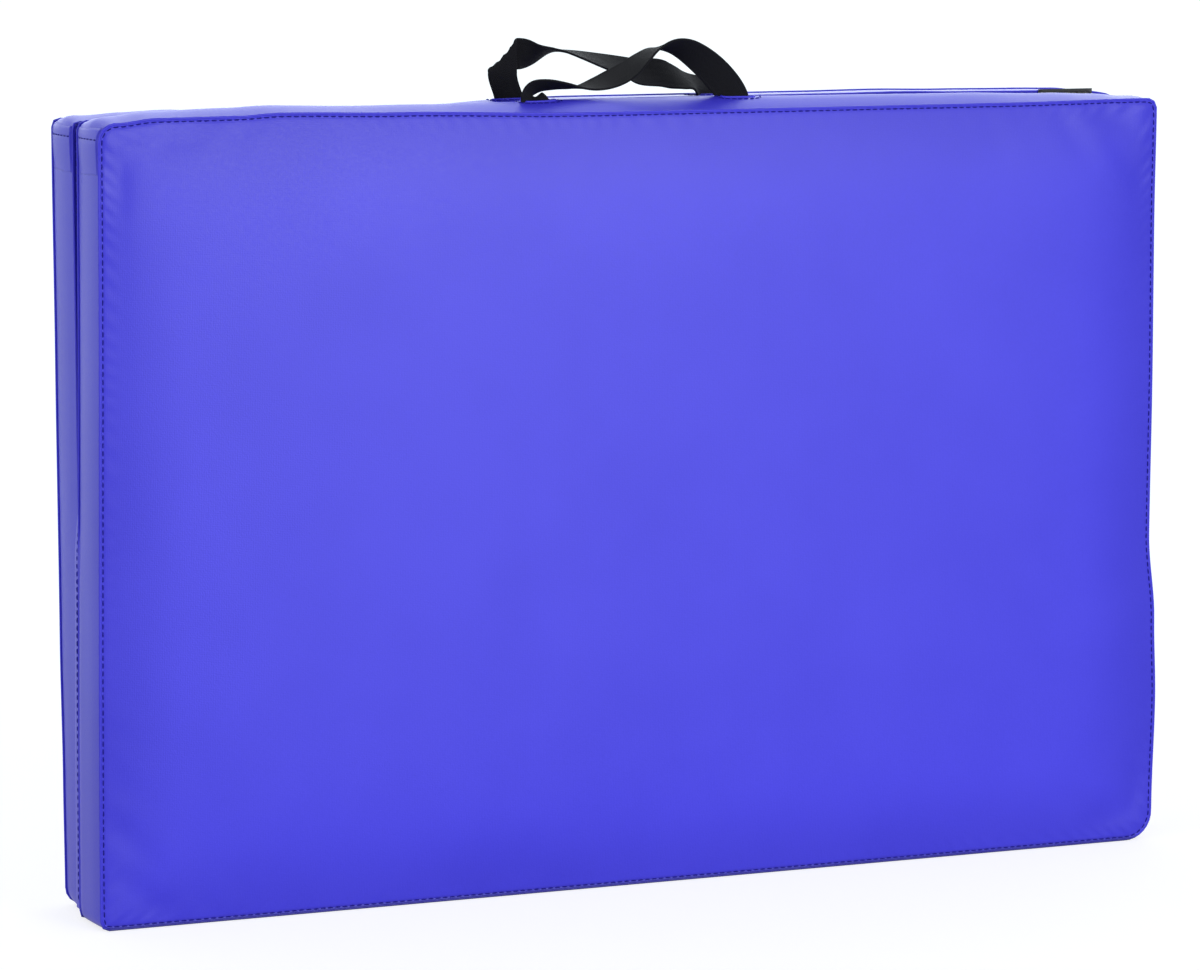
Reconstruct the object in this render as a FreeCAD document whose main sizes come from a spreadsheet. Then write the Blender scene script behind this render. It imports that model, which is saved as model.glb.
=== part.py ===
import FreeCAD, Part
import math
import os
from types import SimpleNamespace

import Sketcher
from FreeCAD import Vector

# Two-panel folding gym mat, folded shut and standing on its long side. Millimetres.
# +X runs along the panels, from the fold to the free ends. +Z is up, towards the carry handles.
# The front panel is on the -Y side, the back panel on the +Y side, and Y = 0 lies between them.
# The origin is the bottom centre of the whole folded mat.

DIMENSIONS = {
    # one panel: its face outline is the seam between a face sheet and the boxing round the edge
    "seam_length": 900,
    "seam_height": 606,
    "corner_radius": 16,
    "panel_thickness": 52,
    "panel_gap": 6,
    "vinyl_thickness": 1,
    # the boxing bulges beyond the seam outline: a flat middle with a round shoulder each side
    "crown_height": 7,
    "crown_flat": 22,
    "crown_chord": 48,
    "boxing_lap": 2,
    "seam_gap": 0.2,
    "face_inset": 0.7,
    # welt cord sewn into the seam round each face
    "welt_radius": 1.2,
    "welt_lift": 1.1,
    "welt_stand_out": 0.7,
    # foam core: two slabs laminated at the middle of the panel
    "foam_thickness": 24.5,
    "foam_edge_radius": 13,
    "foam_stand_out": 5.5,
    "foam_zip_room": 2,
    # the fold: vinyl flaps sewn to both inner faces and stitched together on the fold axis
    "fold_stand_out": 0.5,
    "flap_width": 22,
    "flap_clearance": 0.1,
    "flap_lift": 0.8,
    "flap_from_seam": 7,
    "stitch_radius": 0.4,
    "stitch_length": 4,
    "stitch_pitch": 6,
    # carry handles of webbing
    "webbing_width": 25,
    "webbing_thickness": 2.4,
    "handle_spacing": 172,
    "handle_height": 56,
    "handle_outer_radius": 22,
    "handle_inner_radius": 7,
    "handle_end_round": 1.19,
    "handle_gap": 0.1,
    "tail_length": 60,
    "slit_margin": 1,
    "slit_width": 3,
    "patch_length": 62,
    "patch_width": 20,
    "patch_thickness": 1.2,
    "patch_gap": 0.1,
    "pocket_margin": 1,
    # hook and loop strips across the inner faces, close to the free ends
    "strip_width": 50,
    "strip_thickness": 2,
    "strip_from_end": 25,
    "strip_lift": 0.4,
    "strip_bottom": 20,
    "hook_strip_top": 623,
    "loop_strip_top": 600,
    # zip in the middle of each free end
    "zip_slot": 18,
    "tape_gap": 6.2,
    "tape_clearance": 0.1,
    "coil_radius": 1.1,
    "coil_from_centre": 1.9,
    "coil_depth": 0.5,
    "coil_end_margin": 9,
    "stop_length": 4,
    "slider_length": 16,
    "slider_width": 10,
    "slider_plate": 1.2,
    "slider_bridge": 1.2,
    "slider_clearance": 0.1,
    "slider_end_margin": 1,
    "lug_length": 4,
    "lug_width": 7.2,
    "lug_slot": 5.2,
    "pin_radius": 0.7,
    "eye_radius": 1.5,
    "eye_bore_radius": 0.8,
    "eye_width": 4.8,
    "eye_clearance": 0.3,
    "tab_thickness": 1.2,
    "tab_width": 8,
    "tab_length": 30,
    "tab_neck": 4,
    # how far a cut reaches beyond what it cuts
    "overshoot": 1,
}


# how closely an edge must lie on a plane to be picked as lying on it
TOLERANCE = 0.01


class Size:
    """A number of millimetres, together with the sheet expression that gives it."""

    def __init__(self, value, text):
        self.value = value
        self.text = text

    def __add__(self, other):
        other = as_size(other)
        return Size(self.value + other.value, f"({self.text} + {other.text})")

    def __sub__(self, other):
        other = as_size(other)
        return Size(self.value - other.value, f"({self.text} - {other.text})")

    def __mul__(self, other):
        other = as_size(other)
        return Size(self.value * other.value, f"({self.text} * {other.text})")

    def __truediv__(self, other):
        other = as_size(other)
        return Size(self.value / other.value, f"({self.text} / {other.text})")

    def __neg__(self):
        return self * -1

    def root(self):
        return Size(math.sqrt(self.value), f"sqrt({self.text})")


def as_size(amount):
    return amount if isinstance(amount, Size) else Size(amount, f"({amount})")


D = SimpleNamespace(**{name: Size(value, f"Dimensions.{name}") for name, value in DIMENSIONS.items()})
ZERO = as_size(0)

# places that several sub-parts share; X and Z in a panel's own frame, Y from the panel's middle plane
SEAM_RIGHT = D.seam_length / 2
SEAM_LEFT = -SEAM_RIGHT
SEAM_LOW = D.crown_height
SEAM_HIGH = D.crown_height + D.seam_height
TOP = SEAM_HIGH + D.crown_height
PANEL_Y = (D.panel_gap + D.panel_thickness) / 2
FACE_Y = D.panel_thickness / 2 - D.vinyl_thickness
HALF_CHORD = D.crown_chord / 2
HALF_FLAT = D.crown_flat / 2
JOINT_HIGH = SEAM_HIGH - D.corner_radius - D.boxing_lap
JOINT_LOW = SEAM_LOW + D.corner_radius + D.boxing_lap
FOLD_X = SEAM_LEFT - D.crown_height - D.fold_stand_out
FLAP_LOW = SEAM_LOW + D.flap_from_seam
FLAP_HIGH = SEAM_HIGH - D.flap_from_seam
WELT_Y = HALF_CHORD + D.welt_lift
CROWN_X = SEAM_RIGHT + D.crown_height
COIL_X = CROWN_X - D.coil_depth
COIL_LOW = JOINT_LOW + D.coil_end_margin
COIL_HIGH = JOINT_HIGH - D.coil_end_margin
SLIDER_FACE_X = COIL_X + D.coil_radius + D.slider_clearance + D.slider_plate
PIN_X = SLIDER_FACE_X + D.eye_clearance + D.eye_radius
SLIDER_Z = COIL_LOW + D.slider_length / 2 + D.slider_end_margin
HANDLE_X = D.handle_spacing / 2
HANDLE_AXIS_Z = TOP + D.handle_gap + D.webbing_thickness / 2
# the zip pull stands out at one end and the fold stitching at the other; this shift centres the two
PANEL_X = -(PIN_X + D.eye_radius + FOLD_X - D.stitch_radius) / 2

PANELS = [SimpleNamespace(name="front", side=-1), SimpleNamespace(name="back", side=1)]

doc = FreeCAD.newDocument("FoldingMat")
sheet = doc.addObject("Spreadsheet::Sheet", "Dimensions")
for row, (name, value) in enumerate(DIMENSIONS.items(), start=1):
    sheet.set(f"A{row}", name)
    sheet.set(f"B{row}", str(value))
    sheet.setAlias(f"B{row}", name)
doc.recompute()

subparts = []


# ---------------------------------------------------------------- sketches and features


def bind(item, **sizes):
    """Bind properties of a feature to the sheet. A double underscore stands for a dot."""
    for name, size in sizes.items():
        item.setExpression(name.replace("__", "."), as_size(size).text)


def place(item, panel, up=ZERO):
    """Put a sub-part, made about its panel's middle plane, where that panel stands."""
    bind(item, Placement__Base__x=PANEL_X, Placement__Base__y=PANEL_Y * panel.side, Placement__Base__z=up)
    subparts.append(item)
    return item


def new_body(panel, label):
    return doc.addObject("PartDesign::Body", f"{panel.name}_{label}")


def new_sketch(body, role, offset=ZERO):
    """A sketch on one of the body's own origin planes, moved along that plane's normal."""
    support = next(item for item in body.Origin.OriginFeatures if item.Role == role)
    sketch = body.newObject("Sketcher::SketchObject", f"{body.Name}_sketch")
    sketch.AttachmentSupport = [(support, "")]
    sketch.MapMode = "FlatFace"
    bind(sketch, AttachmentOffset__Base__z=offset)
    return sketch


def constrain(sketch, kind, element, *place_and_size):
    *place_on, size = place_and_size
    index = sketch.addConstraint(Sketcher.Constraint(kind, element, *place_on, size.value))
    sketch.setExpression(f"Constraints[{index}]", size.text)


def draw(sketch, corners, closed=True):
    """Draw lines and arcs from corner to corner. A corner is (x, y), or (x, y, radius, centre x,
    centre y) where an arc of less than half a turn starts. Every place is bound to the sheet."""
    corners = [tuple(as_size(number) for number in corner) for corner in corners]
    count = len(corners) if closed else len(corners) - 1
    ends = []
    for index in range(count):
        here = corners[index]
        there = corners[(index + 1) % len(corners)]
        first = Vector(here[0].value, here[1].value, 0)
        last = Vector(there[0].value, there[1].value, 0)
        start, finish = 1, 2
        if len(here) == 2:
            element = sketch.addGeometry(Part.LineSegment(first, last))
        else:
            centre = Vector(here[3].value, here[4].value, 0)
            if (first - centre).cross(last - centre).z < 0:
                start, finish = 2, 1
            arc_from, arc_to = (first, last) if start == 1 else (last, first)
            circle = Part.Circle(centre, Vector(0, 0, 1), here[2].value)
            arc = Part.ArcOfCircle(circle, circle.parameter(arc_from), circle.parameter(arc_to))
            element = sketch.addGeometry(arc)
        ends.append((element, start, finish))
    for index, (element, start, finish) in enumerate(ends):
        constrain(sketch, "DistanceX", element, start, corners[index][0])
        constrain(sketch, "DistanceY", element, start, corners[index][1])
        if len(corners[index]) > 2:
            constrain(sketch, "Radius", element, corners[index][2])
        if index + 1 < count or closed:
            after, after_start, _ = ends[(index + 1) % count]
            sketch.addConstraint(Sketcher.Constraint("Coincident", element, finish, after, after_start))
        else:
            constrain(sketch, "DistanceX", element, finish, corners[-1][0])
            constrain(sketch, "DistanceY", element, finish, corners[-1][1])
    return sketch


def draw_circle(sketch, x, y, radius):
    centre = Vector(x.value, y.value, 0)
    element = sketch.addGeometry(Part.Circle(centre, Vector(0, 0, 1), radius.value))
    constrain(sketch, "DistanceX", element, 3, x)
    constrain(sketch, "DistanceY", element, 3, y)
    constrain(sketch, "Radius", element, radius)
    return sketch


def rectangle(left, right, low, high):
    return [(left, low), (right, low), (right, high), (left, high)]


def rounded_rectangle(left, right, low, high, radius):
    return [
        (left + radius, low),
        (right - radius, low, radius, right - radius, low + radius),
        (right, low + radius),
        (right, high - radius, radius, right - radius, high - radius),
        (right - radius, high),
        (left + radius, high, radius, left + radius, high - radius),
        (left, high - radius),
        (left, low + radius, radius, left + radius, low + radius),
    ]


def pad(body, sketch, length, toward=1, middle=False):
    """Pad along the sketch plane's normal (toward 1), against it (-1), or evenly both ways."""
    feature = body.newObject("PartDesign::Pad", f"{body.Name}_pad")
    feature.Profile = sketch
    feature.Midplane = middle
    feature.Reversed = toward < 0
    bind(feature, Length=length)
    doc.recompute()
    return feature


def pocket(body, sketch, length, toward=1, middle=False):
    """Cut in the direction that a pad with the same settings would grow, and check that it cuts."""
    before = body.Shape.Volume
    feature = body.newObject("PartDesign::Pocket", f"{body.Name}_pocket")
    feature.Profile = sketch
    feature.Midplane = middle
    feature.Reversed = toward > 0
    bind(feature, Length=length)
    doc.recompute()
    if not body.Shape.Volume < before:
        raise RuntimeError(f"{feature.Name} cuts nothing")
    return feature


def fillet(body, base, radius, wanted):
    """Round the edges of base for which wanted(edge) is true."""
    names = [f"Edge{number}" for number, edge in enumerate(base.Shape.Edges, start=1) if wanted(edge)]
    feature = body.newObject("PartDesign::Fillet", f"{body.Name}_fillet")
    feature.Base = (base, names)
    bind(feature, Radius=radius)
    doc.recompute()
    return feature


def pipe(body, profile, spine):
    feature = body.newObject("PartDesign::AdditivePipe", f"{body.Name}_pipe")
    feature.Profile = profile
    feature.Spine = spine
    doc.recompute()
    return feature


def group(panel, label, members):
    """Separate solids that make one node."""
    item = doc.addObject("Part::Compound", f"{panel.name}_{label}")
    item.Links = members
    return item


def box(label, low, size):
    item = doc.addObject("Part::Box", label)
    bind(item, Length=size[0], Width=size[1], Height=size[2])
    bind(item, Placement__Base__x=low[0], Placement__Base__y=low[1], Placement__Base__z=low[2])
    return item


# ---------------------------------------------------------------- foam core and cover


def foam_layer(panel, label, toward):
    """One slab, with its outer edge rounded and room cut for the handle tails and patches."""
    body = new_body(panel, label)
    left = SEAM_LEFT - D.foam_stand_out
    right = SEAM_RIGHT + D.foam_stand_out - D.foam_zip_room
    low = SEAM_LOW - D.foam_stand_out
    high = SEAM_HIGH + D.foam_stand_out
    radius = D.corner_radius + D.foam_stand_out
    outline = draw(new_sketch(body, "XZ_Plane"), rounded_rectangle(left, right, low, high, radius))
    slab = pad(body, outline, D.foam_thickness, -toward)
    far_side = D.foam_thickness.value * toward
    fillet(body, slab, D.foam_edge_radius, lambda edge: lies_at_y(edge, far_side))
    tail_half = D.webbing_width / 2 + D.pocket_margin
    patch_half = D.patch_length / 2 + D.pocket_margin
    patch_low = TOP - D.vinyl_thickness - D.patch_thickness - D.pocket_margin
    for hand in (-1, 1):
        middle = HANDLE_X * hand
        slot = rectangle(middle - tail_half, middle + tail_half, high - D.tail_length, high + D.overshoot)
        depth = (D.webbing_thickness + D.seam_gap) / 2
        pocket(body, draw(new_sketch(body, "XZ_Plane"), slot), depth, -toward)
        recess = rectangle(middle - patch_half, middle + patch_half, patch_low, high + D.overshoot)
        depth = D.patch_width / 2 + D.pocket_margin
        pocket(body, draw(new_sketch(body, "XZ_Plane"), recess), depth, -toward)
    return place(body, panel)


def lies_at_y(edge, y):
    bounds = edge.BoundBox
    return abs(bounds.YMin - y) < TOLERANCE and abs(bounds.YMax - y) < TOLERANCE


def face_sheet(panel, label, toward):
    """Flat vinyl face inside the welt."""
    body = new_body(panel, label)
    outline = rounded_rectangle(
        SEAM_LEFT + D.face_inset,
        SEAM_RIGHT - D.face_inset,
        SEAM_LOW + D.face_inset,
        SEAM_HIGH - D.face_inset,
        D.corner_radius - D.face_inset,
    )
    sketch = draw(new_sketch(body, "XZ_Plane", FACE_Y * -toward), outline)
    pad(body, sketch, D.vinyl_thickness, -toward)
    return place(body, panel)


def crown_section(seam, outward, low_side=None, high_side=None):
    """Boxing section across the panel: sketch X runs out of the panel and sketch Y across it.
    It reaches from shoulder to shoulder, or stops square at low_side or high_side."""
    half_chord = (D.crown_chord - D.crown_flat) / 2
    outer_radius = (half_chord * half_chord + D.crown_height * D.crown_height) / (D.crown_height * 2)
    inner_radius = outer_radius - D.vinyl_thickness
    centre_x = seam + (D.crown_height - outer_radius) * outward
    outer_x = seam + D.crown_height * outward
    inner_x = seam + (D.crown_height - D.vinyl_thickness) * outward
    inner_reach = (inner_radius * inner_radius - half_chord * half_chord).root()
    inner_end_x = centre_x + inner_reach * outward
    corners = []
    if low_side is None:
        corners += [(seam, -HALF_CHORD, outer_radius, centre_x, -HALF_FLAT), (outer_x, -HALF_FLAT)]
    else:
        corners += [(outer_x, low_side)]
    if high_side is None:
        corners += [(outer_x, HALF_FLAT, outer_radius, centre_x, HALF_FLAT), (seam, HALF_CHORD)]
        corners += [(inner_end_x, HALF_CHORD, inner_radius, centre_x, HALF_FLAT), (inner_x, HALF_FLAT)]
    else:
        corners += [(outer_x, high_side), (inner_x, high_side)]
    if low_side is None:
        corners += [(inner_x, -HALF_FLAT, inner_radius, centre_x, -HALF_FLAT), (inner_end_x, -HALF_CHORD)]
    else:
        corners += [(inner_x, low_side)]
    return corners


def wrapped_boxing(panel, label, level, joint, upward):
    """Boxing along the top or bottom edge, wrapped round both corners to the end boxings."""
    body = new_body(panel, label)
    radius = D.corner_radius
    turn = level - radius * upward
    path = [
        (SEAM_LEFT, joint),
        (SEAM_LEFT, turn, radius, SEAM_LEFT + radius, turn),
        (SEAM_LEFT + radius, level),
        (SEAM_RIGHT - radius, level, radius, SEAM_RIGHT - radius, turn),
        (SEAM_RIGHT, turn),
        (SEAM_RIGHT, joint),
    ]
    spine = draw(new_sketch(body, "XZ_Plane"), path, closed=False)
    profile = draw(new_sketch(body, "XY_Plane", joint), crown_section(SEAM_LEFT, -1))
    pipe(body, profile, spine)
    return body


def top_boxing(panel):
    body = wrapped_boxing(panel, "top_boxing", SEAM_HIGH, JOINT_HIGH, 1)
    half = D.webbing_width / 2 + D.slit_margin
    for hand in (-1, 1):
        middle = HANDLE_X * hand
        slit = rectangle(middle - half, middle + half, -D.slit_width / 2, D.slit_width / 2)
        sketch = draw(new_sketch(body, "XY_Plane", SEAM_HIGH), slit)
        pocket(body, sketch, D.crown_height + D.overshoot)
    return place(body, panel)


def bottom_boxing(panel):
    return place(wrapped_boxing(panel, "bottom_boxing", SEAM_LOW, JOINT_LOW, -1), panel)


def end_boxing(panel, label, seam, outward, **sides):
    """Straight boxing up one end, from just above the bottom boxing to just below the top one."""
    body = new_body(panel, label)
    start = JOINT_LOW + D.seam_gap
    sketch = draw(new_sketch(body, "XY_Plane", start), crown_section(seam, outward, **sides))
    pad(body, sketch, JOINT_HIGH - D.seam_gap - start)
    return place(body, panel)


def free_end_boxings(panel):
    """Two strips with the zip between them."""
    half_slot = D.zip_slot / 2
    names = {panel.side: "free_end_outer_boxing", -panel.side: "free_end_inner_boxing"}
    end_boxing(panel, names[1], SEAM_RIGHT, 1, low_side=half_slot)
    end_boxing(panel, names[-1], SEAM_RIGHT, 1, high_side=-half_slot)


def welt(panel, label, toward):
    """Round cord all the way round a face, swept from the middle of the bottom edge."""
    body = new_body(panel, label)
    out = D.welt_stand_out
    outline = rounded_rectangle(
        SEAM_LEFT - out, SEAM_RIGHT + out, SEAM_LOW - out, SEAM_HIGH + out, D.corner_radius + out
    )
    path = [(ZERO, SEAM_LOW - out)] + outline[1:] + outline[:1]
    spine = draw(new_sketch(body, "XZ_Plane", WELT_Y * -toward), path)
    profile = draw_circle(new_sketch(body, "YZ_Plane"), WELT_Y * toward, SEAM_LOW - out, D.welt_radius)
    pipe(body, profile, spine)
    return place(body, panel)


# ---------------------------------------------------------------- fold


def fold_flap(panel):
    """Vinyl strip sewn to the inner face at the fold end, reaching out to the fold axis."""
    body = new_body(panel, "fold_flap")
    toward = -panel.side
    left = FOLD_X + D.flap_clearance
    outline = rectangle(left, left + D.flap_width, FLAP_LOW, FLAP_HIGH)
    lift = D.panel_thickness / 2 + D.flap_lift
    sketch = draw(new_sketch(body, "XZ_Plane", lift * -toward), outline)
    pad(body, sketch, D.vinyl_thickness, -toward)
    return place(body, panel)


def fold_stitches():
    """A row of round thread stitches along the fold axis, joining the two flaps."""
    pitch = D.stitch_pitch.value
    count = int((FLAP_HIGH.value - FLAP_LOW.value) // pitch)
    start = FLAP_LOW.value + (pitch - D.stitch_length.value) / 2
    stitches = [
        Part.makeCylinder(D.stitch_radius.value, D.stitch_length.value, Vector(0, 0, start + pitch * number))
        for number in range(count)
    ]
    item = doc.addObject("Part::Feature", "fold_stitches")
    item.Shape = Part.makeCompound(stitches)
    bind(item, Placement__Base__x=PANEL_X + FOLD_X)
    subparts.append(item)


# ---------------------------------------------------------------- carry handles


def handle_loop(panel):
    """Arch of webbing. Its two lower ends are round, so that it swings on the line it is sewn to."""
    body = new_body(panel, "handle")
    outer = HANDLE_X + D.webbing_width / 2
    inner = HANDLE_X - D.webbing_width / 2
    base = TOP + D.handle_gap
    high = base + D.handle_height
    inner_high = high - D.webbing_width
    big = D.handle_outer_radius
    small = D.handle_inner_radius
    outline = [
        (-outer, base),
        (-inner, base),
        (-inner, inner_high - small, small, small - inner, inner_high - small),
        (small - inner, inner_high),
        (inner - small, inner_high, small, inner - small, inner_high - small),
        (inner, inner_high - small),
        (inner, base),
        (outer, base),
        (outer, high - big, big, outer - big, high - big),
        (outer - big, high),
        (big - outer, high, big, big - outer, high - big),
        (-outer, high - big),
    ]
    arch = pad(body, draw(new_sketch(body, "XZ_Plane"), outline), D.webbing_thickness, middle=True)
    level = base.value
    fillet(body, arch, D.handle_end_round, lambda edge: runs_along_x_at(edge, level))
    return place(body, panel)


def runs_along_x_at(edge, level):
    bounds = edge.BoundBox
    level_edge = abs(bounds.ZMin - level) < TOLERANCE and abs(bounds.ZMax - level) < TOLERANCE
    return level_edge and bounds.XLength > D.webbing_width.value / 2


def handle_tails(panel):
    """The webbing's two ends, which pass through the slits and lie between the foam slabs."""
    width, depth = D.webbing_width, D.webbing_thickness
    length = D.tail_length - D.foam_stand_out
    tails = []
    for hand in (-1, 1):
        low = (HANDLE_X * hand - width / 2, -depth / 2, TOP - length)
        tails.append(box(f"{panel.name}_tail", low, (width, depth, length)))
    return place(group(panel, "handle_tails", tails), panel)


def handle_patches(panel):
    """Vinyl patches under the top boxing, each with a slit, which the webbing is sewn through."""
    base = TOP - D.vinyl_thickness - D.patch_thickness - D.patch_gap
    members = []
    for hand in (-1, 1):
        middle = HANDLE_X * hand
        low = (middle - D.patch_length / 2, -D.patch_width / 2, base)
        sheet_part = box(f"{panel.name}_patch", low, (D.patch_length, D.patch_width, D.patch_thickness))
        slit_length = D.webbing_width + D.slit_margin * 2
        slit_depth = D.patch_thickness + D.overshoot * 2
        low = (middle - slit_length / 2, -D.slit_width / 2, base - D.overshoot)
        slit = box(f"{panel.name}_slit", low, (slit_length, D.slit_width, slit_depth))
        cut = doc.addObject("Part::Cut", f"{panel.name}_patch_with_slit")
        cut.Base = sheet_part
        cut.Tool = slit
        members.append(cut)
    return place(group(panel, "handle_patches", members), panel)


# ---------------------------------------------------------------- closure strips


def closure_strip(panel, label, top):
    """Hook or loop tape sewn across the inner face near the free end."""
    body = new_body(panel, label)
    toward = -panel.side
    right = SEAM_RIGHT - D.strip_from_end
    outline = rectangle(right - D.strip_width, right, D.strip_bottom, top)
    lift = D.panel_thickness / 2 + D.strip_lift
    sketch = draw(new_sketch(body, "XZ_Plane", lift * -toward), outline)
    pad(body, sketch, D.strip_thickness, -toward)
    return place(body, panel)


# ---------------------------------------------------------------- zip


def zip_tapes(panel):
    """Woven tape each side of the zip, sewn into the slot between the two boxing strips."""
    width = (D.zip_slot - D.tape_gap) / 2 - D.tape_clearance
    start = JOINT_LOW + D.seam_gap
    size = (D.vinyl_thickness, width, JOINT_HIGH - D.seam_gap - start)
    inside = CROWN_X - D.vinyl_thickness
    tapes = [
        box(f"{panel.name}_tape", (inside, D.tape_gap / 2, start), size),
        box(f"{panel.name}_tape", (inside, -D.tape_gap / 2 - width, start), size),
    ]
    return place(group(panel, "zip_tapes", tapes), panel)


def zip_coils(panel):
    """The two continuous coils, as plain rods of the coil's outer size."""
    coils = []
    for hand in (-1, 1):
        rod = doc.addObject("Part::Cylinder", f"{panel.name}_coil")
        bind(rod, Radius=D.coil_radius, Height=COIL_HIGH - COIL_LOW)
        bind(rod, Placement__Base__x=COIL_X, Placement__Base__y=D.coil_from_centre * hand)
        bind(rod, Placement__Base__z=COIL_LOW)
        coils.append(rod)
    return place(group(panel, "zip_coils", coils), panel)


def zip_stops(panel):
    """Metal blocks that hold the slider on the coils at both ends."""
    half_width = D.coil_from_centre + D.coil_radius
    size = (D.coil_radius * 2, half_width * 2, D.stop_length)
    x = COIL_X - D.coil_radius
    stops = [
        box(f"{panel.name}_stop", (x, -half_width, COIL_LOW - D.slider_clearance - D.stop_length), size),
        box(f"{panel.name}_stop", (x, -half_width, COIL_HIGH + D.slider_clearance), size),
    ]
    return place(group(panel, "zip_stops", stops), panel)


def zip_slider(panel):
    """Two plates round the coils, joined by a bridge between them, with a pin held in two lugs."""
    body = new_body(panel, "zip_slider")
    wide = D.slider_width / 2
    thin = D.slider_bridge / 2
    outer_low = SLIDER_FACE_X - D.slider_plate
    inner_high = COIL_X - D.coil_radius - D.slider_clearance
    inner_low = inner_high - D.slider_plate
    section = [
        (inner_low, -wide),
        (inner_high, -wide),
        (inner_high, -thin),
        (outer_low, -thin),
        (outer_low, -wide),
        (SLIDER_FACE_X, -wide),
        (SLIDER_FACE_X, wide),
        (outer_low, wide),
        (outer_low, thin),
        (inner_high, thin),
        (inner_high, wide),
        (inner_low, wide),
    ]
    pad(body, draw(new_sketch(body, "XY_Plane"), section), D.slider_length, middle=True)
    reach = D.lug_length / 2
    lug_top = PIN_X + D.eye_radius
    lug = [
        (SLIDER_FACE_X - D.slider_plate / 2, -reach),
        (lug_top - reach / 2, -reach, reach / 2, lug_top - reach / 2, -reach / 2),
        (lug_top, -reach / 2),
        (lug_top, reach / 2, reach / 2, lug_top - reach / 2, reach / 2),
        (lug_top - reach / 2, reach),
        (SLIDER_FACE_X - D.slider_plate / 2, reach),
    ]
    pad(body, draw(new_sketch(body, "XZ_Plane"), lug), D.lug_width, middle=True)
    gap = rectangle(SLIDER_FACE_X, lug_top + D.overshoot, -reach - D.overshoot, reach + D.overshoot)
    pocket(body, draw(new_sketch(body, "XZ_Plane"), gap), D.lug_slot, middle=True)
    pin = draw_circle(new_sketch(body, "XZ_Plane"), PIN_X, ZERO, D.pin_radius)
    pad(body, pin, D.lug_width - D.seam_gap, middle=True)
    return place(body, panel, up=SLIDER_Z)


def zip_pull(panel):
    """Pull tab with an eye that turns on the slider's pin."""
    body = new_body(panel, "zip_pull")
    narrow = D.eye_width / 2
    wide = D.tab_width / 2
    end = -D.tab_length
    tab = [
        (narrow, ZERO),
        (-narrow, ZERO),
        (-narrow, -D.tab_neck),
        (-wide, -D.tab_neck),
        (-wide, end + narrow, narrow, narrow - wide, end + narrow),
        (narrow - wide, end),
        (wide - narrow, end, narrow, wide - narrow, end + narrow),
        (wide, end + narrow),
        (wide, -D.tab_neck),
        (narrow, -D.tab_neck),
    ]
    pad(body, draw(new_sketch(body, "YZ_Plane", PIN_X), tab), D.tab_thickness, middle=True)
    barrel = draw_circle(new_sketch(body, "XZ_Plane"), PIN_X, ZERO, D.eye_radius)
    pad(body, barrel, D.eye_width, middle=True)
    bore = draw_circle(new_sketch(body, "XZ_Plane"), PIN_X, ZERO, D.eye_bore_radius)
    pocket(body, bore, D.eye_width + D.overshoot, middle=True)
    return place(body, panel, up=SLIDER_Z)


# ---------------------------------------------------------------- assembly

for panel in PANELS:
    outer, inner = panel.side, -panel.side
    foam_layer(panel, "foam_outer_layer", outer)
    foam_layer(panel, "foam_inner_layer", inner)
    face_sheet(panel, "outer_face", outer)
    face_sheet(panel, "inner_face", inner)
    top_boxing(panel)
    bottom_boxing(panel)
    end_boxing(panel, "fold_end_boxing", SEAM_LEFT, -1)
    free_end_boxings(panel)
    welt(panel, "outer_welt", outer)
    welt(panel, "inner_welt", inner)
    fold_flap(panel)
    handle_loop(panel)
    handle_tails(panel)
    handle_patches(panel)
    zip_tapes(panel)
    zip_coils(panel)
    zip_stops(panel)
    zip_slider(panel)
    zip_pull(panel)
closure_strip(PANELS[0], "loop_strip", D.loop_strip_top)
closure_strip(PANELS[1], "hook_strip", D.hook_strip_top)
fold_stitches()

doc.recompute()

for item in doc.Objects:
    if "Invalid" in item.State or "Error" in item.State:
        raise RuntimeError(f"{item.Name} did not compute: {item.State}")
for item in subparts:
    if item.Shape.isNull() or not item.Shape.isValid() or not item.Shape.Solids:
        raise RuntimeError(f"{item.Label} has no valid solid")

os.makedirs("parts", exist_ok=True)
for item in subparts:
    item.Shape.exportStep(f"parts/{item.Label}.step")

print(len(subparts), "sub-parts")
print("fold axis x", PANEL_X.value + FOLD_X.value)
print("handle axis z", HANDLE_AXIS_Z.value, "panel y", PANEL_Y.value)
print("pull axis x", PANEL_X.value + PIN_X.value, "z", SLIDER_Z.value)
SLIDER_TRAVEL = COIL_HIGH - COIL_LOW - D.slider_length - D.slider_end_margin * 2
print("slider travel", SLIDER_TRAVEL.value)
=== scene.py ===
"""Looks of a folding gym mat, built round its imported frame.

The mat is two padded panels that fold shut at one end. Each panel gets a sewn vinyl cover that a cloth
simulation blows up, piping and stitches that follow its seams, a flopped webbing handle and a zip.
Every position comes from the frame. Lengths are in millimetres times `mm`, so they end up in metres.
"""
import math

import bmesh
import bpy
import numpy as np
from mathutils import Matrix, Vector
from mathutils.bvhtree import BVHTree


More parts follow.
